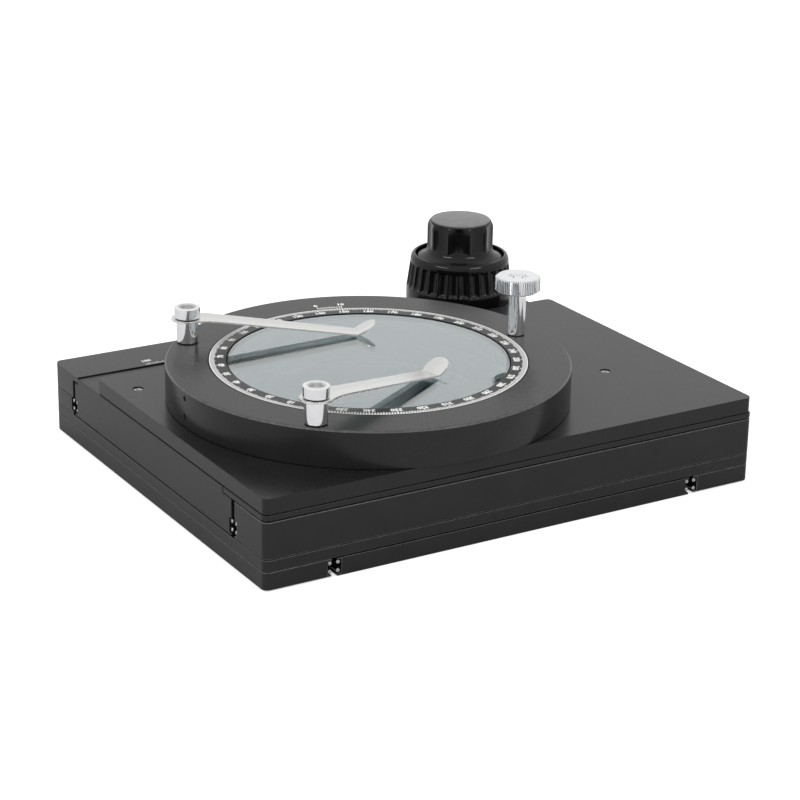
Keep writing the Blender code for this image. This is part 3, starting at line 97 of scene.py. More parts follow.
# %% Camera
CAMERA_PLACE = Vector((-0.5878, -0.96945, 0.45333))
LOOKING = Vector((0.487, 0.8001, -0.3501))
ABOUT_UP = Vector((0.1666, 0.3084, 0.9366))
FOCAL_LENGTH, SENSOR_WIDTH = 106.74, 36
NEAREST, FARTHEST = 0.05, 50
view_forward = LOOKING.normalized()
view_right = view_forward.cross(ABOUT_UP).normalized()
view_up = view_right.cross(view_forward)
camera_data = bpy.data.cameras.new("product_camera")
camera_data.lens = FOCAL_LENGTH
camera_data.sensor_width = SENSOR_WIDTH
camera_data.clip_start = NEAREST
camera_data.clip_end = FARTHEST
camera = bpy.data.objects.new("product_camera", camera_data)
bpy.context.scene.collection.objects.link(camera)
turn = Matrix((view_right, view_up, -view_forward)).transposed()
camera.matrix_world = Matrix.Translation(CAMERA_PLACE) @ turn.to_4x4()
bpy.context.scene.camera = camera
print("camera stands", round(camera.location.length, 3), "m from the middle")

# %% [markdown]
# ## White studio
# Small products are shot in a white tent, which sends about the same light from every side. A world of
# plain white does just that: black metal stays black from the front, and greys only where it is seen at
# a flat angle.

# %% White world
WORLD_STRENGTH = 1.0
world = bpy.data.worlds.new("white_tent")
bpy.context.scene.world = world
world.use_nodes = True
bpy.context.scene.view_settings.view_transform = "Standard"
sky = world.node_tree.nodes["Background"]
sky.inputs["Color"].default_value = (1, 1, 1, 1)
sky.inputs["Strength"].default_value = WORLD_STRENGTH
print("world strength:", WORLD_STRENGTH)

# %% [markdown]
# ## The sweep under the stage
# The floor is a wide sheet of white board. The stage darkens it all round, so the board glows a little,
# but only where the eye meets it, straight or through glass. Light Path tells these rays apart. The
# board then joins the white world without a horizon and keeps a soft shadow.

# %% Floor
FLOOR_LEVEL = -0.2 * MM
FLOOR_HALF = 6
floor_mesh = bmesh.new()
bmesh.ops.create_grid(floor_mesh, x_segments=1, y_segments=1, size=FLOOR_HALF)
bmesh.ops.translate(floor_mesh, vec=(0, 0, FLOOR_LEVEL), verts=floor_mesh.verts)
floor_data = bpy.data.meshes.new("floor")
floor_mesh.to_mesh(floor_data)
floor_mesh.free()
floor = bpy.data.objects.new("floor", floor_data)
bpy.context.scene.collection.objects.link(floor)
print("floor at", round(FLOOR_LEVEL / MM, 2), "mm")

# %% White board
BOARD_WHITE, BOARD_GLOW = 0.68, 0.55
board = bpy.data.materials.new("white_board")
board.use_nodes = True
board_tree = board.node_tree
board_shader = board_tree.nodes["Principled BSDF"]
board_shader.inputs["Base Color"].default_value = (BOARD_WHITE, BOARD_WHITE, BOARD_WHITE, 1)
board_shader.inputs["Roughness"].default_value = 0.9
board_shader.inputs["Specular IOR Level"].default_value = 0.0
board_shader.inputs["Emission Color"].default_value = (1, 1, 1, 1)
path = board_tree.nodes.new("ShaderNodeLightPath")
seen = board_tree.nodes.new("ShaderNodeMath")
seen.use_clamp = True
board_tree.links.new(path.outputs["Is Camera Ray"], seen.inputs[0])
board_tree.links.new(path.outputs["Is Transmission Ray"], seen.inputs[1])
glow = board_tree.nodes.new("ShaderNodeMapRange")
glow.inputs["To Max"].default_value = BOARD_GLOW
board_tree.links.new(seen.outputs[0], glow.inputs["Value"])
board_tree.links.new(glow.outputs[0], board_shader.inputs["Emission Strength"])
floor_data.materials.append(board)
print("board glows by", BOARD_GLOW)

# %% [markdown]
# ## Two strip boxes
# Even light alone leaves gloss dull. Two narrow soft boxes, left and right of the camera and well above
# it, put the small bright arcs on the knobs and the edges of the caps. They are area lamps, because
# their size sets the shape of those arcs.

# %% Lamps
STRIP_PLACES = {"left_strip": (-1.55, -0.25, 1.15), "right_strip": (0.35, -1.55, 1.15)}
STRIP_TARGET = Vector((0.05, 0.05, 0.05))
STRIP_LENGTH, STRIP_WIDTH = 0.9, 0.14
STRIP_POWER = 8.0


def soft_box(name, place):
    """A rectangular lamp at a place, turned to face the stage."""
    lamp = bpy.data.lights.new(name, "AREA")
    lamp.shape = "RECTANGLE"
    lamp.size, lamp.size_y = STRIP_LENGTH, STRIP_WIDTH
    lamp.energy = STRIP_POWER
    box = bpy.data.objects.new(name, lamp)
    aim = (STRIP_TARGET - Vector(place)).to_track_quat("-Z", "Y")
    box.matrix_world = Matrix.Translation(place) @ aim.to_matrix().to_4x4()
    bpy.context.scene.collection.objects.link(box)


for name, place in STRIP_PLACES.items():
    soft_box(name, place)
print("lamps:", [lamp.name for lamp in bpy.data.lights])

# %% [markdown]
# ## A start for every finish
# No real surface has one flat colour. Each finish starts from one shader whose colour and roughness
# wander a little with a noise read from the object's own coordinates, and whose surface has a fine
# bump. One helper makes that start, because the finishes differ only in a few numbers. Noise rarely
# comes near 0 or 1, so only its middle part, from NOISE_LOW to NOISE_HIGH, is spread over the range.

# %% Helper for finishes
NOISE_LOW, NOISE_HIGH = 0.3, 0.7


def finish(name, dark, light, rough, metal=0.0, patch=60.0, grain=2500.0, bump=0.1, depth=0.00002,
           gloss=0.5):
    """Shader with a colour and a roughness that wander in patches, and a fine grain in its bump."""
    material = bpy.data.materials.new(name)
    material.use_nodes = True
    tree = material.node_tree
    shader = tree.nodes["Principled BSDF"]
    shader.inputs["Metallic"].default_value = metal
    shader.inputs["Specular IOR Level"].default_value = gloss
    where = tree.nodes.new("ShaderNodeTexCoord").outputs["Object"]
    patches = tree.nodes.new("ShaderNodeTexNoise")
    patches.inputs["Scale"].default_value = patch
    patches.inputs["Detail"].default_value = 5
    fine = tree.nodes.new("ShaderNodeTexNoise")
    fine.inputs["Scale"].default_value = grain
    fine.inputs["Detail"].default_value = 3
    for noise in (patches, fine):
        tree.links.new(where, noise.inputs["Vector"])
    colours = tree.nodes.new("ShaderNodeValToRGB")
    colours.color_ramp.elements[0].position = NOISE_LOW
    colours.color_ramp.elements[1].position = NOISE_HIGH
    colours.color_ramp.elements[0].color = (*dark, 1)
    colours.color_ramp.elements[1].color = (*light, 1)
    tree.links.new(patches.outputs["Fac"], colours.inputs["Fac"])
    tree.links.new(colours.outputs["Color"], shader.inputs["Base Color"])
    spread = tree.nodes.new("ShaderNodeMapRange")
    spread.inputs["From Min"].default_value = NOISE_LOW
    spread.inputs["From Max"].default_value = NOISE_HIGH
    spread.inputs["To Min"].default_value = rough[0]
    spread.inputs["To Max"].default_value = rough[1]
    tree.links.new(fine.outputs["Fac"], spread.inputs["Value"])
    tree.links.new(spread.outputs[0], shader.inputs["Roughness"])
    relief = tree.nodes.new("ShaderNodeBump")
    relief.inputs["Strength"].default_value = bump
    relief.inputs["Distance"].default_value = depth
    tree.links.new(fine.outputs["Fac"], relief.inputs["Height"])
    tree.links.new(relief.outputs["Normal"], shader.inputs["Normal"])
    return material


print("finish helper ready")

# %% [markdown]
# ## Anodised aluminium
# The plates and rings are milled aluminium, blasted with fine beads and anodised black. The dye leaves
# a near black with a soft sheen, and the blasting a grain finer than a tenth of a millimetre. A plain
# shader with a rough, weak gloss shows it better than a metal one, because the oxide layer is like a
# thin glass: it looks black from the front and grey at a flat angle, which is why tops look lighter.

# %% Black anodised finishes
FINISHES = {}


def keep(name, dark, light, rough, **more):
    """Stores a finish under the name that the nodes of the frame use."""
    FINISHES[name] = finish(name, dark, light, rough, **more)


keep("black_anodised", (0.0075, 0.0082, 0.0078), (0.0105, 0.0112, 0.0108), (0.27, 0.35), grain=4200,
     bump=0.08, gloss=0.27)
keep("grey_anodised", (0.0090, 0.0096, 0.0092), (0.0125, 0.0131, 0.0127), (0.22, 0.30), grain=4200,
     bump=0.08, gloss=0.25)
print("anodised:", list(FINISHES))

# %% [markdown]
# ## Bright metals
# Posts and screws are chromed, the leaves and shafts are brushed steel, and the slide rods are ground
# to a mirror. All are metals, so their colour is the colour of their reflection, and the roughness
# tells them apart.

# %% Bright metal finishes
keep("chrome", (0.74, 0.75, 0.76), (0.84, 0.84, 0.85), (0.06, 0.14), metal=1, patch=300, grain=900, bump=0.04)
keep("satin_steel", (0.52, 0.52, 0.53), (0.64, 0.64, 0.65), (0.24, 0.38), metal=1, patch=200, grain=2400)
keep("polished_steel", (0.42, 0.42, 0.43), (0.55, 0.55, 0.56), (0.14, 0.24), metal=1, patch=250, grain=1500,
     bump=0.05)
keep("brass", (0.62, 0.45, 0.20), (0.74, 0.57, 0.28), (0.24, 0.36), metal=1, patch=220, grain=1800)
print("metals ready")

# %% [markdown]
# ## Plastics and rubber
# The knobs are moulded in glossy black, with the faint ripple that moulded gloss always has. The disc
# on the upper knob is a matt grey label plate. The glide ring is a white slippery plastic, and the seat
# of the glass is soft black rubber.

# %% Plastic and rubber finishes
keep("gloss_black_plastic", (0.0030, 0.0032, 0.0030), (0.0050, 0.0052, 0.0050), (0.09, 0.14), patch=120,
     grain=700, bump=0.05, depth=0.00003, gloss=0.25)
keep("grey_cap_plastic", (0.115, 0.115, 0.117), (0.15, 0.15, 0.152), (0.34, 0.44), patch=200, grain=2600,
     bump=0.08)
keep("black_rubber", (0.012, 0.012, 0.012), (0.020, 0.020, 0.020), (0.7, 0.85), grain=1800, bump=0.3)
keep("glide_plastic", (0.68, 0.67, 0.63), (0.76, 0.75, 0.71), (0.45, 0.6), grain=1500)
print("finishes so far:", len(FINISHES))

# %% [markdown]
# ## Plate glass
# The disc is clear float glass. Its flat faces mirror the white tent, and its edge looks teal because
# light crosses a long way of glass there. A clear coat stands for the bright film that optical glass
# carries. Handling leaves faint smears, so the small roughness varies in wide patches.

# %% Glass finish
glass = finish("plate_glass", (0.84, 0.95, 0.95), (0.88, 0.97, 0.97), (0.010, 0.016), patch=30, grain=12,
               bump=0.0)
glass_shader = glass.node_tree.nodes["Principled BSDF"]
glass_shader.inputs["Transmission Weight"].default_value = 1.0
glass_shader.inputs["IOR"].default_value = 1.72
glass_shader.inputs["Coat Weight"].default_value = 1.0
glass_shader.inputs["Coat Roughness"].default_value = 0.01
glass_shader.inputs["Coat IOR"].default_value = 1.5
glass_shader.inputs["Coat Tint"].default_value = (0.95, 0.99, 1.0, 1)
FINISHES["plate_glass"] = glass
print("glass index:", glass_shader.inputs["IOR"].default_value)

# %% [markdown]
# ## White engraving
# The numbers and lines are engraved and filled with white enamel. The enamel lies level with the metal,
# so it is made as flat marks a few hundredths of a millimetre proud, with an enamel that is slightly
# chalky.

# %% White enamel
white_enamel = finish("white_enamel", (0.74, 0.74, 0.73), (0.84, 0.84, 0.83), (0.45, 0.6), patch=900,
                      grain=3000)
print("enamel ready")

# %% [markdown]
# ## Painted edge highlights
# The small chamfers on the edges of black plates catch the light and show as fine grey lines. That
# highlight is painted: the chamfers get a lighter finish of their own.

# %% Painted edge highlight finish
# A lighter finish that paints the highlight on edge chamfers.
painted_edge_highlight = finish("painted_edge_highlight", (0.030, 0.031, 0.030), (0.075, 0.076, 0.074), (0.3, 0.42), patch=400)
print("worn edge ready")

# %% [markdown]
# ## Dressing the measured pieces
# Every node of the frame names the finish that it takes. The loop puts it in the node's own material
# slot, so pieces that are hidden inside the stage are finished too. Pieces whose shape needs more care
# are replaced further down.

# %% Finishes on the frame
slot_of = {row["node"]: row["material_slot"] for row in frame["record"]["subparts"]}
for name, node in nodes.items():
    for material_slot in node.material_slots:
        material_slot.material = FINISHES[slot_of[name]]
print("dressed", len(slot_of), "nodes")

# %% [markdown]
# ## Putting a shape in place of a node
# A new piece rides on the same body as the node that it stands for, and takes the same finish. The
# helper turns a bmesh into an object, closes its seams, points its faces outwards and shades it smooth
# up to an angle. A Weighted Normal modifier lets the large faces rule the shading, so that a small
# rounded edge looks small and the flat face beside it stays flat.

# %% Helpers that finish a piece
MERGE_DISTANCE = 0.001 * MM
body_of = {name: body for body, group in frame["record"]["behaviour"]["bodies"].items() for name in group}


def weigh_normals(piece):
    """Large faces rule the shading of the piece."""
    weighed = piece.modifiers.new("weighed_normals", "WEIGHTED_NORMAL")
    weighed.mode = "FACE_AREA"
    weighed.weight = 50
    weighed.keep_sharp = True


def soften(piece, width, least_angle):
    """Rounds the sharp edges of the piece with a live Bevel."""
    edge = piece.modifiers.new("soft_edges", "BEVEL")
    edge.width = width
    edge.segments = 2
    edge.limit_method = "ANGLE"
    edge.angle_limit = math.radians(least_angle)
    return edge


def make_piece(name, shape, material, body, crease=32.0, weigh=True):
    """A finished object from a bmesh, riding on a body of the frame."""
    bmesh.ops.remove_doubles(shape, verts=shape.verts, dist=MERGE_DISTANCE)
    bmesh.ops.recalc_face_normals(shape, faces=shape.faces)
    mesh = bpy.data.meshes.new(name)
    shape.to_mesh(mesh)
    shape.free()
    mesh.shade_smooth()
    mesh.set_sharp_from_angle(angle=math.radians(crease))
    mesh.materials.append(material)
    piece = bpy.data.objects.new(name, mesh)
    bpy.context.scene.collection.objects.link(piece)
    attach(piece, body)
    if weigh:
        weigh_normals(piece)
    return piece


def stand_for(node, shape, crease=32.0, weigh=True):
    """A finished piece that replaces one node of the frame."""
    piece = make_piece(node + "_dressed", shape, FINISHES[slot_of[node]], body_of[node], crease, weigh)
    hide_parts(node)
    return piece


print("bodies:", sorted(set(body_of.values())))

# %% [markdown]
# ## Milled plates with broken edges
# A milled plate never has a knife edge: each edge is broken with a small chamfer, and that chamfer is
# the thin bright line that outlines a plate. The node's mesh is copied, its loose triangles are
# merged into whole faces, and a live Bevel rounds the sharp edges. That keeps every measured hole. The
# bevel can hand its new faces to a second material, the lighter finish that paints the highlight on the
# chamfer. The carriage, its apron and the stage plate show no such line, so they keep one finish.

# %% Plates and bars
EDGE_BREAK = 0.42 * MM
SEAM_MERGE = 0.01 * MM
# Plates whose bevel faces carry the painted edge highlight; the others keep one finish.
HIGHLIGHT_EDGE_PLATES = ("base_plate", "left_lip", "right_lip", "cross_plate", "front_bar", "back_block",
               "back_cover")
PLAIN_EDGE_PLATES = ("carriage_body", "front_apron", "stage_plate")


def broken_edges(node, painted):
    """A copy of a node's mesh whose sharp edges are rounded by a live Bevel."""
    shape = bmesh.new()
    shape.from_mesh(nodes[node].data)
    bmesh.ops.remove_doubles(shape, verts=shape.verts, dist=SEAM_MERGE)
    bmesh.ops.dissolve_limit(shape, angle_limit=math.radians(1), verts=shape.verts, edges=shape.edges,
                             use_dissolve_boundaries=False)
    piece = stand_for(node, shape, crease=180, weigh=False)
    edge = soften(piece, EDGE_BREAK, 40)
    # The bevel faces take the lighter finish, a painted highlight along every edge.
    if painted:
        piece.data.materials.append(painted_edge_highlight)
        edge.material = 1
    weigh_normals(piece)


for plate in HIGHLIGHT_EDGE_PLATES + PLAIN_EDGE_PLATES:
    broken_edges(plate, plate in HIGHLIGHT_EDGE_PLATES)
print("plates dressed, edges broken by", EDGE_BREAK / MM, "mm")

# %% [markdown]
# ## Turned pieces
# Rings, posts and discs come off a lathe, and a lathe is what the spin operator is: a line of points
# is swept round an axis. The points are pairs of radius and height, and small steps at the corners
# stand for the tool's nose. A washer is the simplest profile, a rectangle beside the axis.

# %% Lathe helper
def lathe(profile, middle, segments=96, closed=False):
    """Sweeps a profile once round an upright axis."""
    shape = bmesh.new()
    points = [shape.verts.new((radius, 0, height)) for radius, height in profile]
    pairs = list(zip(points, points[1:]))
    if closed:
        pairs.append((points[-1], points[0]))
    edges = [shape.edges.new(pair) for pair in pairs]
    bmesh.ops.spin(shape, geom=points + edges, cent=(0, 0, 0), axis=(0, 0, 1), angle=math.tau,
                   steps=segments, use_merge=True, use_duplicate=False)
    bmesh.ops.remove_doubles(shape, verts=shape.verts, dist=MERGE_DISTANCE)
    bmesh.ops.translate(shape, vec=(middle[0], middle[1], 0), verts=shape.verts)
    return shape


def rounded(profile, corners, radius, steps=3):
    """The same profile with the named corners swapped for short arcs."""
    points = []
    for index, (x, z) in enumerate(profile):
        if index not in corners:
            points.append((x, z))
            continue
        here = Vector((x, z))
        before = (Vector(profile[index - 1]) - here).normalized() * radius
        after = (Vector(profile[(index + 1) % len(profile)]) - here).normalized() * radius
        for step in range(steps + 1):
            share = step / steps
            bend = before * (1 - share) ** 2 + after * share ** 2
            points.append(tuple(here + bend))
    return points


def washer(inner, outer, low, high):
    """Profile of a flat ring."""
    return [(inner, low), (outer, low), (outer, high), (inner, high)]


print("lathe ready")

# %% [markdown]
# ## Drilling a hole
# A hole across a turned piece is drilled on the real object. The Boolean modifier does the same: it
# takes one shape out of another. It is applied at once, so that no cutter stays in the scene.

# %% Drilling helper
def carve(piece, cutter_shape):
    """Cuts a shape out of a piece and keeps only the result."""
    cutter_mesh = bpy.data.meshes.new("cutter")
    cutter_shape.to_mesh(cutter_mesh)
    cutter_shape.free()
    cutter = bpy.data.objects.new("cutter", cutter_mesh)
    bpy.context.scene.collection.objects.link(cutter)
    step = piece.modifiers.new("carve", "BOOLEAN")
    step.operation = "DIFFERENCE"
    step.solver = "EXACT"
    step.object = cutter
    seen = piece.evaluated_get(bpy.context.evaluated_depsgraph_get())
    carved = bpy.data.meshes.new_from_object(seen)
    piece.modifiers.remove(step)
    piece.data = carved
    bpy.data.objects.remove(cutter, do_unlink=True)


print("drilling helper ready")

# %% [markdown]
# ## The outer ring
# The ring is the largest turned piece. Its top outer edge has a chamfer wide enough to shine all the way
# round. That shine is partly real light on the chamfer and partly a painted highlight from the lighter
# edge finish. Its bore has a ledge below the scale. Two small holes in its side are for grub screws.
# After the drilling the sharp edges are marked again, because the cut made new ones.

# %% Outer ring
RING_RADIUS, RING_BORE, LEDGE_BORE = 100.0 * MM, 79.0 * MM, 72.0 * MM
RING_CHAMFER, LEDGE_HEIGHT = 0.8 * MM, 5.7 * MM
RING_CREASE = 24
GRUB_HOLE_RADIUS, GRUB_HOLE_LENGTH, GRUB_HOLE_SHIFT = 1.3 * MM, 14 * MM, 1.2 * MM
ring_low = span("outer_ring")[0]
ledge = ring_low + LEDGE_HEIGHT
ring_profile = [(LEDGE_BORE, ring_low), (RING_RADIUS, ring_low), (RING_RADIUS, RING_TOP - RING_CHAMFER),
                (RING_RADIUS - RING_CHAMFER, RING_TOP), (RING_BORE, RING_TOP), (RING_BORE, ledge),
                (LEDGE_BORE, ledge)]
ring_shape = lathe(rounded(ring_profile, (1, 2, 3, 4), 0.15 * MM), RING_MIDDLE, segments=256, closed=True)
outer_ring = stand_for("outer_ring", ring_shape, crease=RING_CREASE, weigh=False)
for grub in ("ring_grub_lower", "ring_grub_upper"):
    low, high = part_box(grub)
    across = Matrix.Translation((low[0] - GRUB_HOLE_SHIFT, (low[1] + high[1]) / 2, (low[2] + high[2]) / 2))
    hole = bmesh.new()
    bmesh.ops.create_cone(hole, cap_ends=True, segments=24, radius1=GRUB_HOLE_RADIUS,
                          radius2=GRUB_HOLE_RADIUS, depth=GRUB_HOLE_LENGTH,
                          matrix=across @ Matrix.Rotation(math.pi / 2, 4, "Y"))
    carve(outer_ring, hole)
outer_ring.data.set_sharp_from_angle(angle=math.radians(RING_CREASE))
# The chamfer of the top outer edge gets the lighter finish: a painted highlight all round the rim.
outer_ring.data.materials.append(painted_edge_highlight)
for face in outer_ring.data.polygons:
    near_top = face.center.z > RING_TOP - RING_CHAMFER - 0.1 * MM
    if near_top and 0.3 < face.normal.z < 0.9:
        face.material_index = 1
weigh_normals(outer_ring)
print("ring has", len(outer_ring.data.polygons), "faces")

# %% [markdown]
# ## The scale ring, the glass and its seat
# The scale ring turns inside the outer ring, on a glide ring, and carries the glass in a pocket. It is
# turned like the outer one. The glass is a plain disc with a ground edge, and its seat and the glide
# ring are flat washers.

# %% Scale ring, glass and seat
SCALE_RADIUS, POCKET_RADIUS, LIGHT_RADIUS = 78.6 * MM, 70.1 * MM, 66.0 * MM
GLASS_RADIUS = 69.8 * MM
SEAT_RADII = (66.3 * MM, 69.0 * MM)
GLIDE_RADII = (72.8 * MM, 77.8 * MM)
scale_low = span("scale_ring")[0]
glass_low, glass_high = span("glass_plate")
seat_low, seat_high = span("glass_gasket")
pocket = seat_low - SEAT_GAP
scale_profile = [(LIGHT_RADIUS, scale_low), (SCALE_RADIUS, scale_low), (SCALE_RADIUS, RING_TOP),
                 (POCKET_RADIUS, RING_TOP), (POCKET_RADIUS, pocket), (LIGHT_RADIUS, pocket)]
stand_for("scale_ring", lathe(rounded(scale_profile, (2, 3), 0.2 * MM), RING_MIDDLE, 256, closed=True))
glass_profile = [(0, glass_low), (GLASS_RADIUS, glass_low), (GLASS_RADIUS, glass_high), (0, glass_high)]
stand_for("glass_plate", lathe(rounded(glass_profile, (1, 2), 0.35 * MM, steps=1), RING_MIDDLE, 192))
seat_profile = rounded(washer(*SEAT_RADII, seat_low, seat_high), (1, 2), 0.2 * MM)
stand_for("glass_gasket", lathe(seat_profile, RING_MIDDLE, 128, closed=True))
stand_for("glide_ring", lathe(washer(*GLIDE_RADII, *span("glide_ring")), RING_MIDDLE, 128, closed=True))
print("glass is", round((glass_high - glass_low) / MM, 2), "mm thick")

# %% [markdown]
# ## Lines of the degree scale
# One line is engraved for each degree, longer at every fifth and tenth, and a thin circle closes them
# on the outside. Each line is one small block, made once per degree and turned into place by a matrix,
# because hundreds of lines must stay light.

# %% Degree lines
MARK_RISE = 0.04 * MM
MARK_MIDDLE = MARK_RISE / 4
TENTH_START, FIFTH_START, LINE_START, LINE_END = 74.9 * MM, 75.3 * MM, 75.8 * MM, 78.0 * MM
LINE_WIDTH = 0.68 * MM
CIRCLE_RADII = (77.95 * MM, 78.38 * MM)


def add_line(shape, degrees, inner, outer, width):
    """A radial line between two radii, on the top of the ring."""
    turn = Matrix.Rotation(math.radians(degrees), 4, "Z")
    reach = Matrix.Translation(((inner + outer) / 2, 0, 0))
    size = Matrix.Diagonal((outer - inner, width, MARK_RISE, 1))
    place = Matrix.Translation((RING_MIDDLE[0], RING_MIDDLE[1], RING_TOP + MARK_MIDDLE))
    bmesh.ops.create_cube(shape, size=1, matrix=place @ turn @ reach @ size)


lines = bmesh.new()
for degree in range(360):
    start = TENTH_START if degree % 10 == 0 else FIFTH_START if degree % 5 == 0 else LINE_START
    add_line(lines, degree, start, LINE_END, LINE_WIDTH)
make_piece("degree_lines", lines, white_enamel, "ring_rotor")
circle_low = RING_TOP - MARK_RISE / 4
circle = lathe(washer(*CIRCLE_RADII, circle_low, circle_low + MARK_RISE), RING_MIDDLE, 256, closed=True)
make_piece("degree_circle", circle, white_enamel, "ring_rotor")
print("degree lines:", 360)

# %% [markdown]
# ## Numbers of the scale
# A number stands at every tenth line, with its head outwards. The ring is shown turned so that its zero
# is at the front clip. Numbers are real text, because a font knows the shapes of figures better than a
# modeller does. Each is made a mesh first and only then laid on its place, a little narrowed, so that
# the object itself stays unturned.

# %% Number helpers
def add_number(shape, words, height, place):
    """Adds flat raised figures, centred on their own middle, and laid out by a matrix."""
    curve = bpy.data.curves.new("figures", "FONT")
    curve.body = words
    curve.size = height
    curve.align_x = "CENTER"
    curve.align_y = "CENTER"
    curve.extrude = MARK_RISE / 2
    curve.resolution_u = 2
    curve.offset = height * 0.045
    text = bpy.data.objects.new("figures", curve)
    bpy.context.scene.collection.objects.link(text)
    seen = text.evaluated_get(bpy.context.evaluated_depsgraph_get())
    mesh = bpy.data.meshes.new_from_object(seen)
    mesh.transform(place)
    shape.from_mesh(mesh)
    bpy.data.objects.remove(text, do_unlink=True)
    bpy.data.meshes.remove(mesh)


def on_ring(angle, radius):
    """Matrix that lays figures on the top of the ring, with their heads outwards."""
    spot = RING_MIDDLE + Vector((math.cos(angle), math.sin(angle), 0)) * radius
    spot.z = RING_TOP + MARK_MIDDLE
    return Matrix.Translation(spot) @ Matrix.Rotation(angle - math.pi / 2, 4, "Z")


print("number helpers ready")

# %% Numbers
ZERO_PLACE = 230
NUMBER_RADIUS, NUMBER_SIZE, NUMBER_WIDTH_SHARE = 72.75 * MM, 4.2 * MM, 0.9
numbers = bmesh.new()
narrow = Matrix.Diagonal((NUMBER_WIDTH_SHARE, 1, 1, 1))
for number in range(0, 360, 10):
    angle = math.radians(90 - ZERO_PLACE - number)
    add_number(numbers, str(number), NUMBER_SIZE, on_ring(angle, NUMBER_RADIUS) @ narrow)
make_piece("scale_numbers", numbers, white_enamel, "ring_rotor")
print("numbers:", 36)

# %% [markdown]
# ## The vernier on the outer ring
# Beside the scale, the outer ring has a short vernier: ten fine divisions that let the eye read a tenth
# of a degree, with its first and last value written at its ends. It stays still while the scale turns,
# so it rides on the carriage.

# %% Vernier
VERNIER_FROM, VERNIER_TO = 78.9, 69.9
VERNIER_STEPS = 10
VERNIER_START, VERNIER_END, VERNIER_LONG_END = 79.6 * MM, 81.8 * MM, 82.4 * MM
VERNIER_LINE_WIDTH = 0.5 * MM
VERNIER_NUMBER_RADIUS, VERNIER_NUMBER_SIZE = 84.9 * MM, 4.0 * MM
vernier = bmesh.new()
for step in range(VERNIER_STEPS + 1):
    degrees = VERNIER_FROM + (VERNIER_TO - VERNIER_FROM) * step / VERNIER_STEPS
    end = VERNIER_LONG_END if step % 5 == 0 else VERNIER_END
    add_line(vernier, degrees, VERNIER_START, end, VERNIER_LINE_WIDTH)
for words, degrees in (("0", VERNIER_FROM), ("10", VERNIER_TO)):
    add_number(vernier, words, VERNIER_NUMBER_SIZE, on_ring(math.radians(degrees), VERNIER_NUMBER_RADIUS))
make_piece("vernier_marks", vernier, white_enamel, "x_carriage")
print("vernier lines:", VERNIER_STEPS + 1)

# %% [markdown]
# ## Shapes made of stacked loops
# Flutes, knurls and hexagon sockets aren't round, so a lathe can't make them. A stack of loops can. It
# starts as a plain tower of equal circles, and neighbouring circles are bridged with faces. Only then
# is every point pushed to its height and to the radius that a rule gives for its angle. In the other
# order Bridge can twist two flat loops that lie one inside the other, and close a hole by mistake.

# %% Stacked loops
def stack(levels, middle, segments, fill_ends=True):
    """Levels are pairs of a height and a rule from angle to radius, from the bottom up."""
    shape = bmesh.new()
    circles, loops = [], []
    for step in range(len(levels)):
        circle = bmesh.ops.create_circle(shape, cap_ends=False, segments=segments, radius=1)["verts"]
        bmesh.ops.translate(shape, vec=(0, 0, step), verts=circle)
        circles.append(circle)
        loops.append(list({edge for vert in circle for edge in vert.link_edges}))
    for lower, upper in zip(loops, loops[1:]):
        bmesh.ops.bridge_loops(shape, edges=lower + upper)
    if fill_ends:
        for loop in (loops[0], loops[-1]):
            bmesh.ops.edgeloop_fill(shape, edges=loop)
    for circle, (height, rule) in zip(circles, levels):
        for vert in circle:
            angle = math.atan2(vert.co.y, vert.co.x)
            radius = rule(angle)
            vert.co = (radius * math.cos(angle), radius * math.sin(angle), height)
    bmesh.ops.translate(shape, vec=(middle[0], middle[1], 0), verts=shape.verts)
    return shape


print("stack helper ready")

# %% Rules for round and hexagon loops
def even(radius):
    return lambda angle: radius


def hexagon(across_flats):
    """Radius of a hexagon, flat to flat, at an angle."""
    half = across_flats / 2
    return lambda angle: half / math.cos((angle + math.pi / 6) % (math.pi / 3) - math.pi / 6)


def rounds(base, rows):
    """Round loops from rows of a height above a base and a radius, both in millimetres."""
    return [(base + height * MM, even(radius * MM)) for height, radius in rows]


print("loop rules ready")

# %% [markdown]
# ## Socket head screws
# The caps on the two clip posts are socket head screws, and smaller ones hold the stage plate, sunk
# just under its top. Each head is a turned drum with a soft edge and a hexagon sunk in its top. Going
# down into the hexagon is one more loop in the stack, lower than the rim that it starts from. The
# broached walls and floor of a socket are rough and hold grime, so they get a dull grey of their own.

# %% Screw helpers
SHANK_SHARE, SHANK_TIP_SHARE = 0.42, 0.7
MOUTH_SHARE, MOUTH_FOOT_SHARE, MOUTH_DEPTH_SHARE = 0.63, 0.575, 0.06
SOCKET_REACH_SHARE = 0.62
SOCKET_TOP, SOCKET_BOTTOM = 0.1 * MM, 2 * MM
broached = finish("broached", (0.36, 0.36, 0.36), (0.50, 0.50, 0.49), (0.45, 0.6), patch=600, grain=3000)


def screw_shape(node, top, head_height, head_radius, across_flats, socket_depth, edge):
    """Socket screw on the axis of its node, head up, from the low end of the node's own box."""
    low = span(node)[0]
    shank = head_radius * SHANK_SHARE
    head_low = top - head_height
    mouth = top - across_flats * MOUTH_DEPTH_SHARE
    levels = [(low, even(shank * SHANK_TIP_SHARE)), (low + 0.4 * MM, even(shank)), (head_low, even(shank)),
              (head_low, even(head_radius - edge)), (head_low + edge, even(head_radius)),
              (top - edge, even(head_radius)), (top - edge * 0.3, even(head_radius - edge * 0.3)),
              (top, even(head_radius - edge)), (top, even(across_flats * MOUTH_SHARE)),
              (mouth, even(across_flats * MOUTH_FOOT_SHARE)), (mouth, hexagon(across_flats)),
              (top - socket_depth, hexagon(across_flats))]
    return stack(levels, middle_of(node), 96)


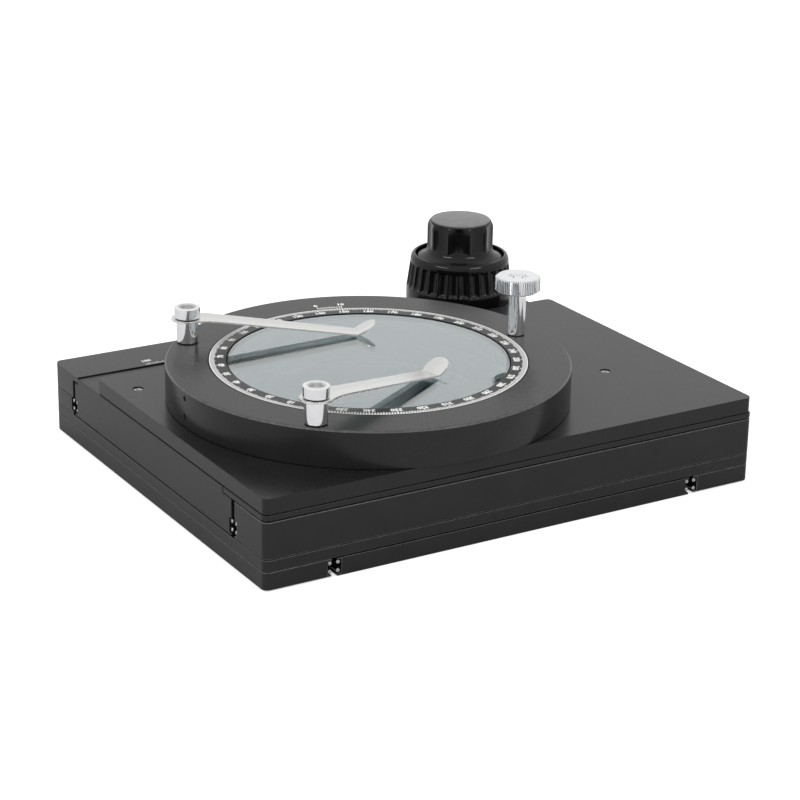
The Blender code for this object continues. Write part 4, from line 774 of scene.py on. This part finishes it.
def socket_screw(node, top, head_height, head_radius, across_flats, socket_depth, edge):
    """Socket screw in place of a node, with the broached finish on the faces sunk inside its rim."""
    shape = screw_shape(node, top, head_height, head_radius, across_flats, socket_depth, edge)
    piece = stand_for(node, shape, crease=28)
    piece.data.materials.append(broached)
    x, y = middle_of(node)
    for face in piece.data.polygons:
        away = math.hypot(face.center.x - x, face.center.y - y)
        sunk = top - SOCKET_BOTTOM < face.center.z < top - SOCKET_TOP
        if sunk and away < across_flats * SOCKET_REACH_SHARE:
            face.material_index = 1


print("screw helpers ready")

# %% Screws
CAP_RADIUS, CAP_FLATS, CAP_SOCKET, CAP_EDGE = 6.4 * MM, 7.0 * MM, 1.8 * MM, 0.4 * MM
CAP_FOOT = 12.6 * MM
HEAD_HEIGHT, HEAD_RADIUS, HEAD_FLATS = 2.9 * MM, 2.4 * MM, 2.0 * MM
HEAD_SOCKET, HEAD_EDGE, HEAD_SINK = 1.0 * MM, 0.2 * MM, 0.45 * MM
for side in ("back", "front"):
    cap = "clip_cap_" + side
    cap_top = span(cap)[1]
    cap_height = cap_top - span("clip_leaf_" + side)[0] - CAP_FOOT
    socket_screw(cap, cap_top, cap_height, CAP_RADIUS, CAP_FLATS, CAP_SOCKET, CAP_EDGE)
head_top = span("stage_plate")[1] - HEAD_SINK
for index in range(1, 5):
    socket_screw(f"plate_screw_{index}", head_top, HEAD_HEIGHT, HEAD_RADIUS, HEAD_FLATS, HEAD_SOCKET,
                 HEAD_EDGE)
print("cap height", round(cap_height / MM, 2), "mm")
print("socket screws:", 6)

# %% [markdown]
# ## Clip posts
# Each spring leaf stands on a chromed post. A post is a plain turned pillar with broken edges, a thin
# stud under it that goes into the ring, and a threaded hole in its top for the cap screw.

# %% Clip posts
POST_RADIUS, STUD_RADIUS, THREAD_RADIUS = 5.5 * MM, 2.2 * MM, 2.1 * MM
THREAD_DEPTH, POST_EDGE = 5 * MM, 0.45 * MM
FOOT = RING_TOP + SEAT_GAP
for side in ("back", "front"):
    post = "clip_post_" + side
    low, high = span(post)
    thread_end = high - THREAD_DEPTH
    profile = [(0, low), (STUD_RADIUS, low), (STUD_RADIUS, FOOT), (POST_RADIUS, FOOT), (POST_RADIUS, high),
               (THREAD_RADIUS, high), (THREAD_RADIUS, thread_end), (0, thread_end)]
    stand_for(post, lathe(rounded(profile, (3, 4), POST_EDGE), middle_of(post), 96))
print("post height", round((high - FOOT) / MM, 2), "mm")

# %% [markdown]
# ## Brushed strip
# Spring strip is rolled and brushed along its length, so its grain is long and thin. The finish reads
# its noise from a UV map that runs along the strip, and a Mapping node shrinks the lengthwise scale,
# which draws every speck out into a line.

# %% Brushed strip finish
STRETCH = 0.02


def brushed_strip():
    """The plain metal finish, with its noises drawn out along the strip."""
    material = finish("brushed_strip", (0.60, 0.60, 0.59), (0.72, 0.72, 0.70), (0.22, 0.34), metal=1)
    tree = material.node_tree
    along = tree.nodes.new("ShaderNodeUVMap")
    along.uv_map = "strip"
    stretch = tree.nodes.new("ShaderNodeMapping")
    stretch.inputs["Scale"].default_value = (STRETCH, 1.0, 1.0)
    tree.links.new(along.outputs["UV"], stretch.inputs["Vector"])
    for noise in [node for node in tree.nodes if node.type == "TEX_NOISE"]:
        tree.links.new(stretch.outputs["Vector"], noise.inputs["Vector"])
    return material


strip_finish = brushed_strip()
print("strip finish ready")

# %% [markdown]
# ## The outline of a leaf
# A leaf is cut from strip: a round eye under the cap, a neck that narrows in a hollow curve, a long arm
# that slopes down to the glass, and a tip that turns up so that a slide can be pushed under it. Two
# rules give its half width and its height at any distance from the eye. The folds are blurred a little,
# because spring steel doesn't bend sharply.

# %% Leaf outline
EYE_RADIUS, EYE_LEAVE = 8.0 * MM, 0.42
FOLD_X = 10.0 * MM
NECK_X, NECK_HALF, BEND_HALF = 20.0 * MM, 6.3 * MM, 5.3 * MM
BEND_X, TIP_X = 85.7 * MM, 95.6 * MM
TIP_RISE, TIP_FLARE, TIP_STRAIGHT = 5.5 * MM, 0.5 * MM, 0.48
FOLD_BLUR, CREASE_BLUR, BLUR_STEPS = 0.9 * MM, 0.1 * MM, 4


def strip_half(x):
    """Half the width of the strip at a distance from the eye."""
    leave = EYE_RADIUS * EYE_LEAVE
    if x < leave:
        return math.sqrt(max(EYE_RADIUS ** 2 - x ** 2, 0))
    if x < NECK_X:
        start = math.sqrt(EYE_RADIUS ** 2 - leave ** 2)
        share = (x - leave) / (NECK_X - leave)
        return NECK_HALF + max(start - NECK_HALF, 0) * (1 - share) ** 1.5
    if x < BEND_X:
        return NECK_HALF + (BEND_HALF - NECK_HALF) * (x - NECK_X) / (BEND_X - NECK_X)
    share = (x - BEND_X) / (TIP_X - BEND_X)
    flare = BEND_HALF + TIP_FLARE * math.sin(min(share * 2.5, 1) * math.pi / 2)
    return flare * math.sqrt(max(1 - max(share - TIP_STRAIGHT, 0) ** 2 / (1 - TIP_STRAIGHT) ** 2, 0))


def strip_level(x, root, contact):
    """Height of the underside: level at the eye, a soft fold, a slope to the crease, up to the tip."""
    total = 0
    blur = FOLD_BLUR if x < BEND_X / 2 else CREASE_BLUR
    for step in range(-BLUR_STEPS, BLUR_STEPS + 1):
        near = x + step * blur
        if near < FOLD_X:
            total += root
        elif near < BEND_X:
            total += root + (contact - root) * (near - FOLD_X) / (BEND_X - FOLD_X)
        else:
            total += contact + TIP_RISE * (near - BEND_X) / (TIP_X - BEND_X)
    return total / (2 * BLUR_STEPS + 1)


print("leaf length", round((TIP_X + EYE_RADIUS) / MM, 1), "mm")

# %% [markdown]
# ## Spring leaves
# A grid is the right start for a strip, because its rows become the length and its columns the width.
# The rows stand closer at both round ends. Solidify then gives the strip its thickness, and a small
# Bevel takes the edge off.

# %% Rows of a leaf
EYE_STATIONS, ARM_STATIONS, TIP_STATIONS = 20, 36, 24
CREASE_GAP = 0.3 * MM


def strip_stations():
    """Distances from the eye at which the strip has a row."""
    turn = math.acos(-EYE_LEAVE) / EYE_STATIONS
    eye = [-EYE_RADIUS * math.cos(turn * step) for step in range(EYE_STATIONS)]
    start, crease = EYE_RADIUS * EYE_LEAVE, BEND_X - CREASE_GAP
    arm = [start + (crease - start) * step / ARM_STATIONS for step in range(ARM_STATIONS + 1)]
    swing = math.pi / 2 / TIP_STATIONS
    tip = [BEND_X + CREASE_GAP + (TIP_X - BEND_X - CREASE_GAP) * math.sin(swing * step)
           for step in range(TIP_STATIONS + 1)]
    return eye + arm + tip


print("rows of a leaf:", len(strip_stations()))

# %% Spring leaves
LEAF_SWINGS = {"back": -19.7, "front": 20.5}
LEAF_RISE = 11.5 * MM
STRIP_THICKNESS, STRIP_EDGE, STRIP_COLUMNS = 0.8 * MM, 0.12 * MM, 10


def strip_shape(swing, middle):
    """The underside of a leaf as a bent grid with its own UV map, swung about its eye."""
    shape = bmesh.new()
    stations = strip_stations()
    last = len(stations) - 1
    bmesh.ops.create_grid(shape, x_segments=last, y_segments=STRIP_COLUMNS, size=1)
    uv = shape.loops.layers.uv.new("strip")
    for vert in shape.verts:
        x = stations[round((vert.co.x + 1) / 2 * last)]
        vert.co = (x, vert.co.y * strip_half(x), strip_level(x, FOOT + LEAF_RISE, FOOT))
    for face in shape.faces:
        for loop in face.loops:
            loop[uv].uv = loop.vert.co.xy
    bmesh.ops.rotate(shape, cent=(0, 0, 0), matrix=Matrix.Rotation(math.radians(swing), 3, "Z"),
                     verts=shape.verts)
    bmesh.ops.translate(shape, vec=(*middle, 0), verts=shape.verts)
    return shape


def spring_leaf(side, swing):
    """A leaf in place of its node, with its thickness and soft edges."""
    shape = strip_shape(swing, middle_of("clip_cap_" + side))
    leaf = stand_for("clip_leaf_" + side, shape, crease=25, weigh=False)
    leaf.data.materials[0] = strip_finish
    leaf.data.flip_normals()
    wall = leaf.modifiers.new("thickness", "SOLIDIFY")
    wall.thickness = STRIP_THICKNESS
    wall.offset = -1
    soften(leaf, STRIP_EDGE, 50)
    weigh_normals(leaf)


for side, swing in LEAF_SWINGS.items():
    spring_leaf(side, swing)
print("leaves:", list(LEAF_SWINGS))

# %% [markdown]
# ## The clamp screw
# A knurled screw on the ring locks the scale. Its head has straight grooves cut round the rim, a
# small dish on top and the turned end of the spindle in the middle. The grooves are in the radius of
# the middle loops only, and the edge loops stay round, which is how a straight knurl runs out.

# %% Clamp screw head
KNURLS, KNURL_RADIUS = 64, 11.45 * MM
GROOVE_DEPTH, GROOVE_SHARE = 0.9 * MM, 0.4
KNURL_EDGE = 0.9 * MM
CLAMP_MIDDLE = middle_of("clamp_head")
clamp_low, clamp_high = span("clamp_head")


def knurled(angle):
    """Radius with straight narrow grooves: it drops in the first part of each pitch."""
    in_groove = (angle / math.tau * KNURLS + 0.01) % 1 < GROOVE_SHARE
    return KNURL_RADIUS - (GROOVE_DEPTH if in_groove else 0)


head_levels = rounds(clamp_low, [(0, 2.5), (0, 10.2), (0.3, 10.6)])
head_levels += [(clamp_low + KNURL_EDGE, knurled), (clamp_high - KNURL_EDGE, knurled)]
head_levels += rounds(clamp_high, [(-0.3, 10.6), (0, 10.2), (0, 5.0), (-0.3, 4.6), (-1.0, 4.4),
                                   (-1.0, 2.5)])
head_levels += rounds(clamp_low, [(0, 2.5)])
stand_for("clamp_head", stack(head_levels, CLAMP_MIDDLE, KNURLS * 6, fill_ends=False), crease=22)
print("knurls:", KNURLS)

# %% Clamp screw spindle
SHAFT_RADIUS, SCREW_RADIUS, SCREW_TIP_RADIUS, PIN_RADIUS = 4.45 * MM, 3.0 * MM, 2.0 * MM, 2.2 * MM
spindle_low, spindle_high = span("clamp_spindle")
shaft_high = clamp_low - SEAT_GAP
spindle_profile = [
    (0, spindle_low), (SCREW_TIP_RADIUS, spindle_low), (SCREW_RADIUS, spindle_low + 1 * MM),
    (SCREW_RADIUS, FOOT), (SHAFT_RADIUS, FOOT), (SHAFT_RADIUS, shaft_high), (PIN_RADIUS, shaft_high),
    (PIN_RADIUS, spindle_high), (0, spindle_high)]
stand_for("clamp_spindle", lathe(rounded(spindle_profile, (4, 5, 7), 0.4 * MM), CLAMP_MIDDLE, 96))
print("shaft", round((shaft_high - FOOT) / MM, 1), "mm long")

# %% [markdown]
# ## The lower knob
# The lower knob moves the carriage sideways. It flares to a plain skirt at its foot, and its wall has
# wide hollow flutes for the fingers, which fade out under a soft shoulder. The rule for its loops takes a
# bite out of the radius once per flute, deepest in the middle of the flute. The rows list the outline
# from the foot up and back down the bore.

# %% Flute rule
def fluted(radius, count, depth, width_share, phase):
    """Radius with hollow flutes; width_share is the part of the pitch that a flute takes."""
    def rule(angle):
        place = (angle / math.tau * count + phase) % 1
        across = abs(place - 0.5) / (width_share / 2)
        hollow = 1 - across ** 2 if across < 1 else 0
        return radius - depth * hollow ** 0.8
    return rule


print("flute rule ready")

# %% Lower knob
LOWER_FLUTES, LOWER_SHARE, LOWER_PHASE = 30, 0.82, 0.23
SKIRT_HEIGHT, SHOULDER_HEIGHT = 8.2 * MM, 21.7 * MM
WALL_FOOT_RADIUS, WALL_TAPER = 29.4, 1.8
FLUTE_DEPTHS = ((0.0, 0.0), (0.03, 0.7), (0.08, 1.15), (0.15, 1.3), (0.5, 1.35), (0.88, 1.3), (0.95, 1.0),
                (0.99, 0.5), (1.02, 0.0))
knob_low, knob_high = span("lower_knob")
skirt, shoulder = knob_low + SKIRT_HEIGHT, knob_low + SHOULDER_HEIGHT
lower_levels = rounds(knob_low, [(4.0, 5.3), (4.0, 25.5), (0, 25.5), (0, 29.2), (0.4, 29.6)])
lower_levels += rounds(skirt, [(-1.2, 29.6), (-0.3, 29.5)])
for share, depth in FLUTE_DEPTHS:
    radius = (WALL_FOOT_RADIUS - WALL_TAPER * share) * MM
    rule = fluted(radius, LOWER_FLUTES, depth * MM, LOWER_SHARE, LOWER_PHASE)
    lower_levels.append((skirt + (shoulder - skirt) * share, rule))
lower_levels += rounds(shoulder, [(1.6, 27.5), (2.9, 27.2)])
lower_levels += rounds(knob_high, [(-0.7, 26.7), (-0.2, 26.2), (0, 25.6), (0, 24.9), (-0.4, 24.6),
                                   (-6.0, 24.6), (-6.0, 5.3)])
lower_levels += rounds(knob_low, [(4.0, 5.3)])
stand_for("lower_knob", stack(lower_levels, KNOB_AXIS, LOWER_FLUTES * 12, fill_ends=False), crease=40)
print("lower knob:", LOWER_FLUTES, "flutes")

# %% [markdown]
# ## The upper knob
# The upper knob stands in the lower one and moves the carriage to and fro. It has ten broad flutes
# with narrow ridges between them and a round shoulder under its disc. The same rule makes it, with
# fewer and wider flutes that run out over the shoulder.

# %% Upper knob
UPPER_FLUTES, UPPER_SHARE, UPPER_PHASE = 10, 0.88, 0.95
GRIP_RISE, GRIP_HEIGHT = 8.3 * MM, 13.5 * MM
upper_low, upper_high = span("upper_knob")
grip_low = upper_low + GRIP_RISE
grip_high = grip_low + GRIP_HEIGHT


def fluted_rows(base, rows):
    """Fluted loops from rows of a height above a base, a radius and a depth, in millimetres."""
    return [(base + height * MM, fluted(radius * MM, UPPER_FLUTES, depth * MM, UPPER_SHARE, UPPER_PHASE))
            for height, radius, depth in rows]


upper_levels = rounds(upper_low, [(0, 3.3), (0, 23.5), (0.3, 23.8), (3.2, 23.8), (3.8, 23.3), (4.4, 21.8),
                                  (5.6, 19.6), (7.0, 18.5)])
upper_levels += rounds(grip_low, [(0, 18.3)])
upper_levels += fluted_rows(grip_low, [(0.3, 18.3, 0.6), (1.0, 18.3, 1.2), (6.0, 18.3, 1.4)])
upper_levels += fluted_rows(grip_high, [(-2.4, 18.3, 1.4), (-1.0, 18.25, 1.35), (0, 18.0, 1.1),
                                        (0.8, 17.7, 0.7)])
upper_levels += fluted_rows(upper_high, [(-0.3, 17.35, 0.3)])
upper_levels += rounds(upper_high, [(0, 17.0), (0, 16.7), (-1.7, 16.7), (-1.7, 3.3)])
upper_levels += rounds(upper_low, [(0, 3.3)])
stand_for("upper_knob", stack(upper_levels, KNOB_AXIS, UPPER_FLUTES * 28, fill_ends=False), crease=40)
print("upper knob:", UPPER_FLUTES, "flutes")

# %% [markdown]
# ## The disc on the upper knob
# A thin grey plate closes the top of the upper knob. It is slightly domed, as moulded plates are, so
# that it catches the light evenly. A lathe profile with a few falling points gives the dome.

# %% Knob cap
CAP_DISC_RADIUS = 16.4 * MM
disc_low, disc_high = span("knob_cap")
disc_profile = [(0, disc_low), (CAP_DISC_RADIUS, disc_low), (CAP_DISC_RADIUS, disc_high - 0.95 * MM),
                (14.0 * MM, disc_high - 0.6 * MM), (10.0 * MM, disc_high - 0.3 * MM),
                (5.0 * MM, disc_high - 0.08 * MM), (0, disc_high)]
stand_for("knob_cap", lathe(rounded(disc_profile, (2,), 0.25 * MM), KNOB_AXIS, 128))
print("disc is", round(CAP_DISC_RADIUS / MM * 2, 1), "mm across")

# %% [markdown]
# ## Slide rods
# Each side of a slide is two hardened rods that the balls roll between. Only their ends show, as bright
# dots in the gaps between the plates, so each is a ground cylinder with a chamfered end.

# %% Slide rods
ROD_RADIUS, ROD_OFFSET, ROD_CHAMFER = 1.0 * MM, 2.15 * MM, 0.2 * MM
rod_nodes = [name for name in nodes if "_rods_" in name]
for name in rod_nodes:
    low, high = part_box(name)
    middle = (Vector(low) + Vector(high)) / 2
    size = Vector(high) - Vector(low)
    lengthwise_x = size.x > size.y
    shape = bmesh.new()
    for side in (-1, 1):
        lay = Matrix.Rotation(math.pi / 2, 4, "Y" if lengthwise_x else "X")
        place = Matrix.Translation(middle + Vector((0, 0, side * ROD_OFFSET)))
        bmesh.ops.create_cone(shape, cap_ends=True, segments=24, radius1=ROD_RADIUS, radius2=ROD_RADIUS,
                              depth=max(size.x, size.y), matrix=place @ lay)
    rims = [edge for edge in shape.edges if len(edge.link_faces) == 2 and edge.calc_face_angle() > 1]
    bmesh.ops.bevel(shape, geom=rims, offset=ROD_CHAMFER, offset_type="OFFSET", affect="EDGES", segments=1,
                    profile=0.5, material=-1)
    stand_for(name, shape)
print("rod pairs:", len(rod_nodes))

# %% [markdown]
# ## Ball cages
# A thin brass strip keeps the balls apart as they roll. The balls are whole spheres set through the
# strip, and they get their own bright steel as a second material of the same piece.

# %% Ball cages
CAGES = ("y_cage_left", "y_cage_right", "x_cage_front", "x_cage_back")
CAGE_LENGTH, CAGE_THICKNESS, CAGE_HEIGHT, CAGE_EDGE = 150 * MM, 0.8 * MM, 5.0 * MM, 0.15 * MM
BALL_RADIUS, BALL_PITCH, BALLS = 1.64 * MM, 26 * MM, 6
for name in CAGES:
    low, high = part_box(name)
    middle = (Vector(low) + Vector(high)) / 2
    along = Vector((1, 0, 0)) if name.startswith("x") else Vector((0, 1, 0))
    size = [CAGE_LENGTH if share else CAGE_THICKNESS for share in along[:2]] + [CAGE_HEIGHT]
    shape = bmesh.new()
    bmesh.ops.create_cube(shape, size=1, matrix=Matrix.Translation(middle) @ Matrix.Diagonal((*size, 1)))
    bmesh.ops.bevel(shape, geom=list(shape.edges), offset=CAGE_EDGE, offset_type="OFFSET", affect="EDGES",
                    segments=2, profile=0.5, material=-1)
    strip_faces = len(shape.faces)
    for index in range(BALLS):
        step = (index - (BALLS - 1) / 2) * BALL_PITCH
        bmesh.ops.create_uvsphere(shape, u_segments=24, v_segments=12, radius=BALL_RADIUS,
                                  matrix=Matrix.Translation(middle + along * step))
    for face in list(shape.faces)[strip_faces:]:
        face.material_index = 1
    cage = stand_for(name, shape)
    cage.data.materials.append(FINISHES["polished_steel"])
print("ball cages:", len(CAGES))

# %% [markdown]
# ## The mark on the back cover
# The back cover carries a short length scale where the carriage passes it, with its last value written
# beside it.

# %% Cover marks
COVER_MARK_X, TICK_PITCH, TICK_WIDTH = -96 * MM, 1.0 * MM, 0.25 * MM
TICK, LONG_TICK, TICK_INSET = 2.0 * MM, 3.0 * MM, 0.6 * MM
COVER_NUMBER_SIZE, COVER_NUMBER_INSET = 3.6 * MM, 6.4 * MM
cover_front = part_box("back_cover")[0][1]
mark_level = span("back_cover")[1] + MARK_MIDDLE
cover_marks = bmesh.new()
for step in range(-2, 11):
    tall = LONG_TICK if step % 5 == 0 else TICK
    spot = (COVER_MARK_X + step * TICK_PITCH, cover_front + TICK_INSET + tall / 2, mark_level)
    place = Matrix.Translation(spot)
    size = Matrix.Diagonal((TICK_WIDTH, tall, MARK_RISE, 1))
    bmesh.ops.create_cube(cover_marks, size=1, matrix=place @ size)
number_place = Matrix.Translation((COVER_MARK_X, cover_front + COVER_NUMBER_INSET, mark_level))
add_number(cover_marks, "100", COVER_NUMBER_SIZE, number_place)
make_piece("cover_marks", cover_marks, white_enamel, "y_carriage")
print("cover marks at", round(cover_front / MM, 1), "mm")

# %% [markdown]
# ## The end
# The last cell only marks the end of the script.

# %% End
print("boxes written")
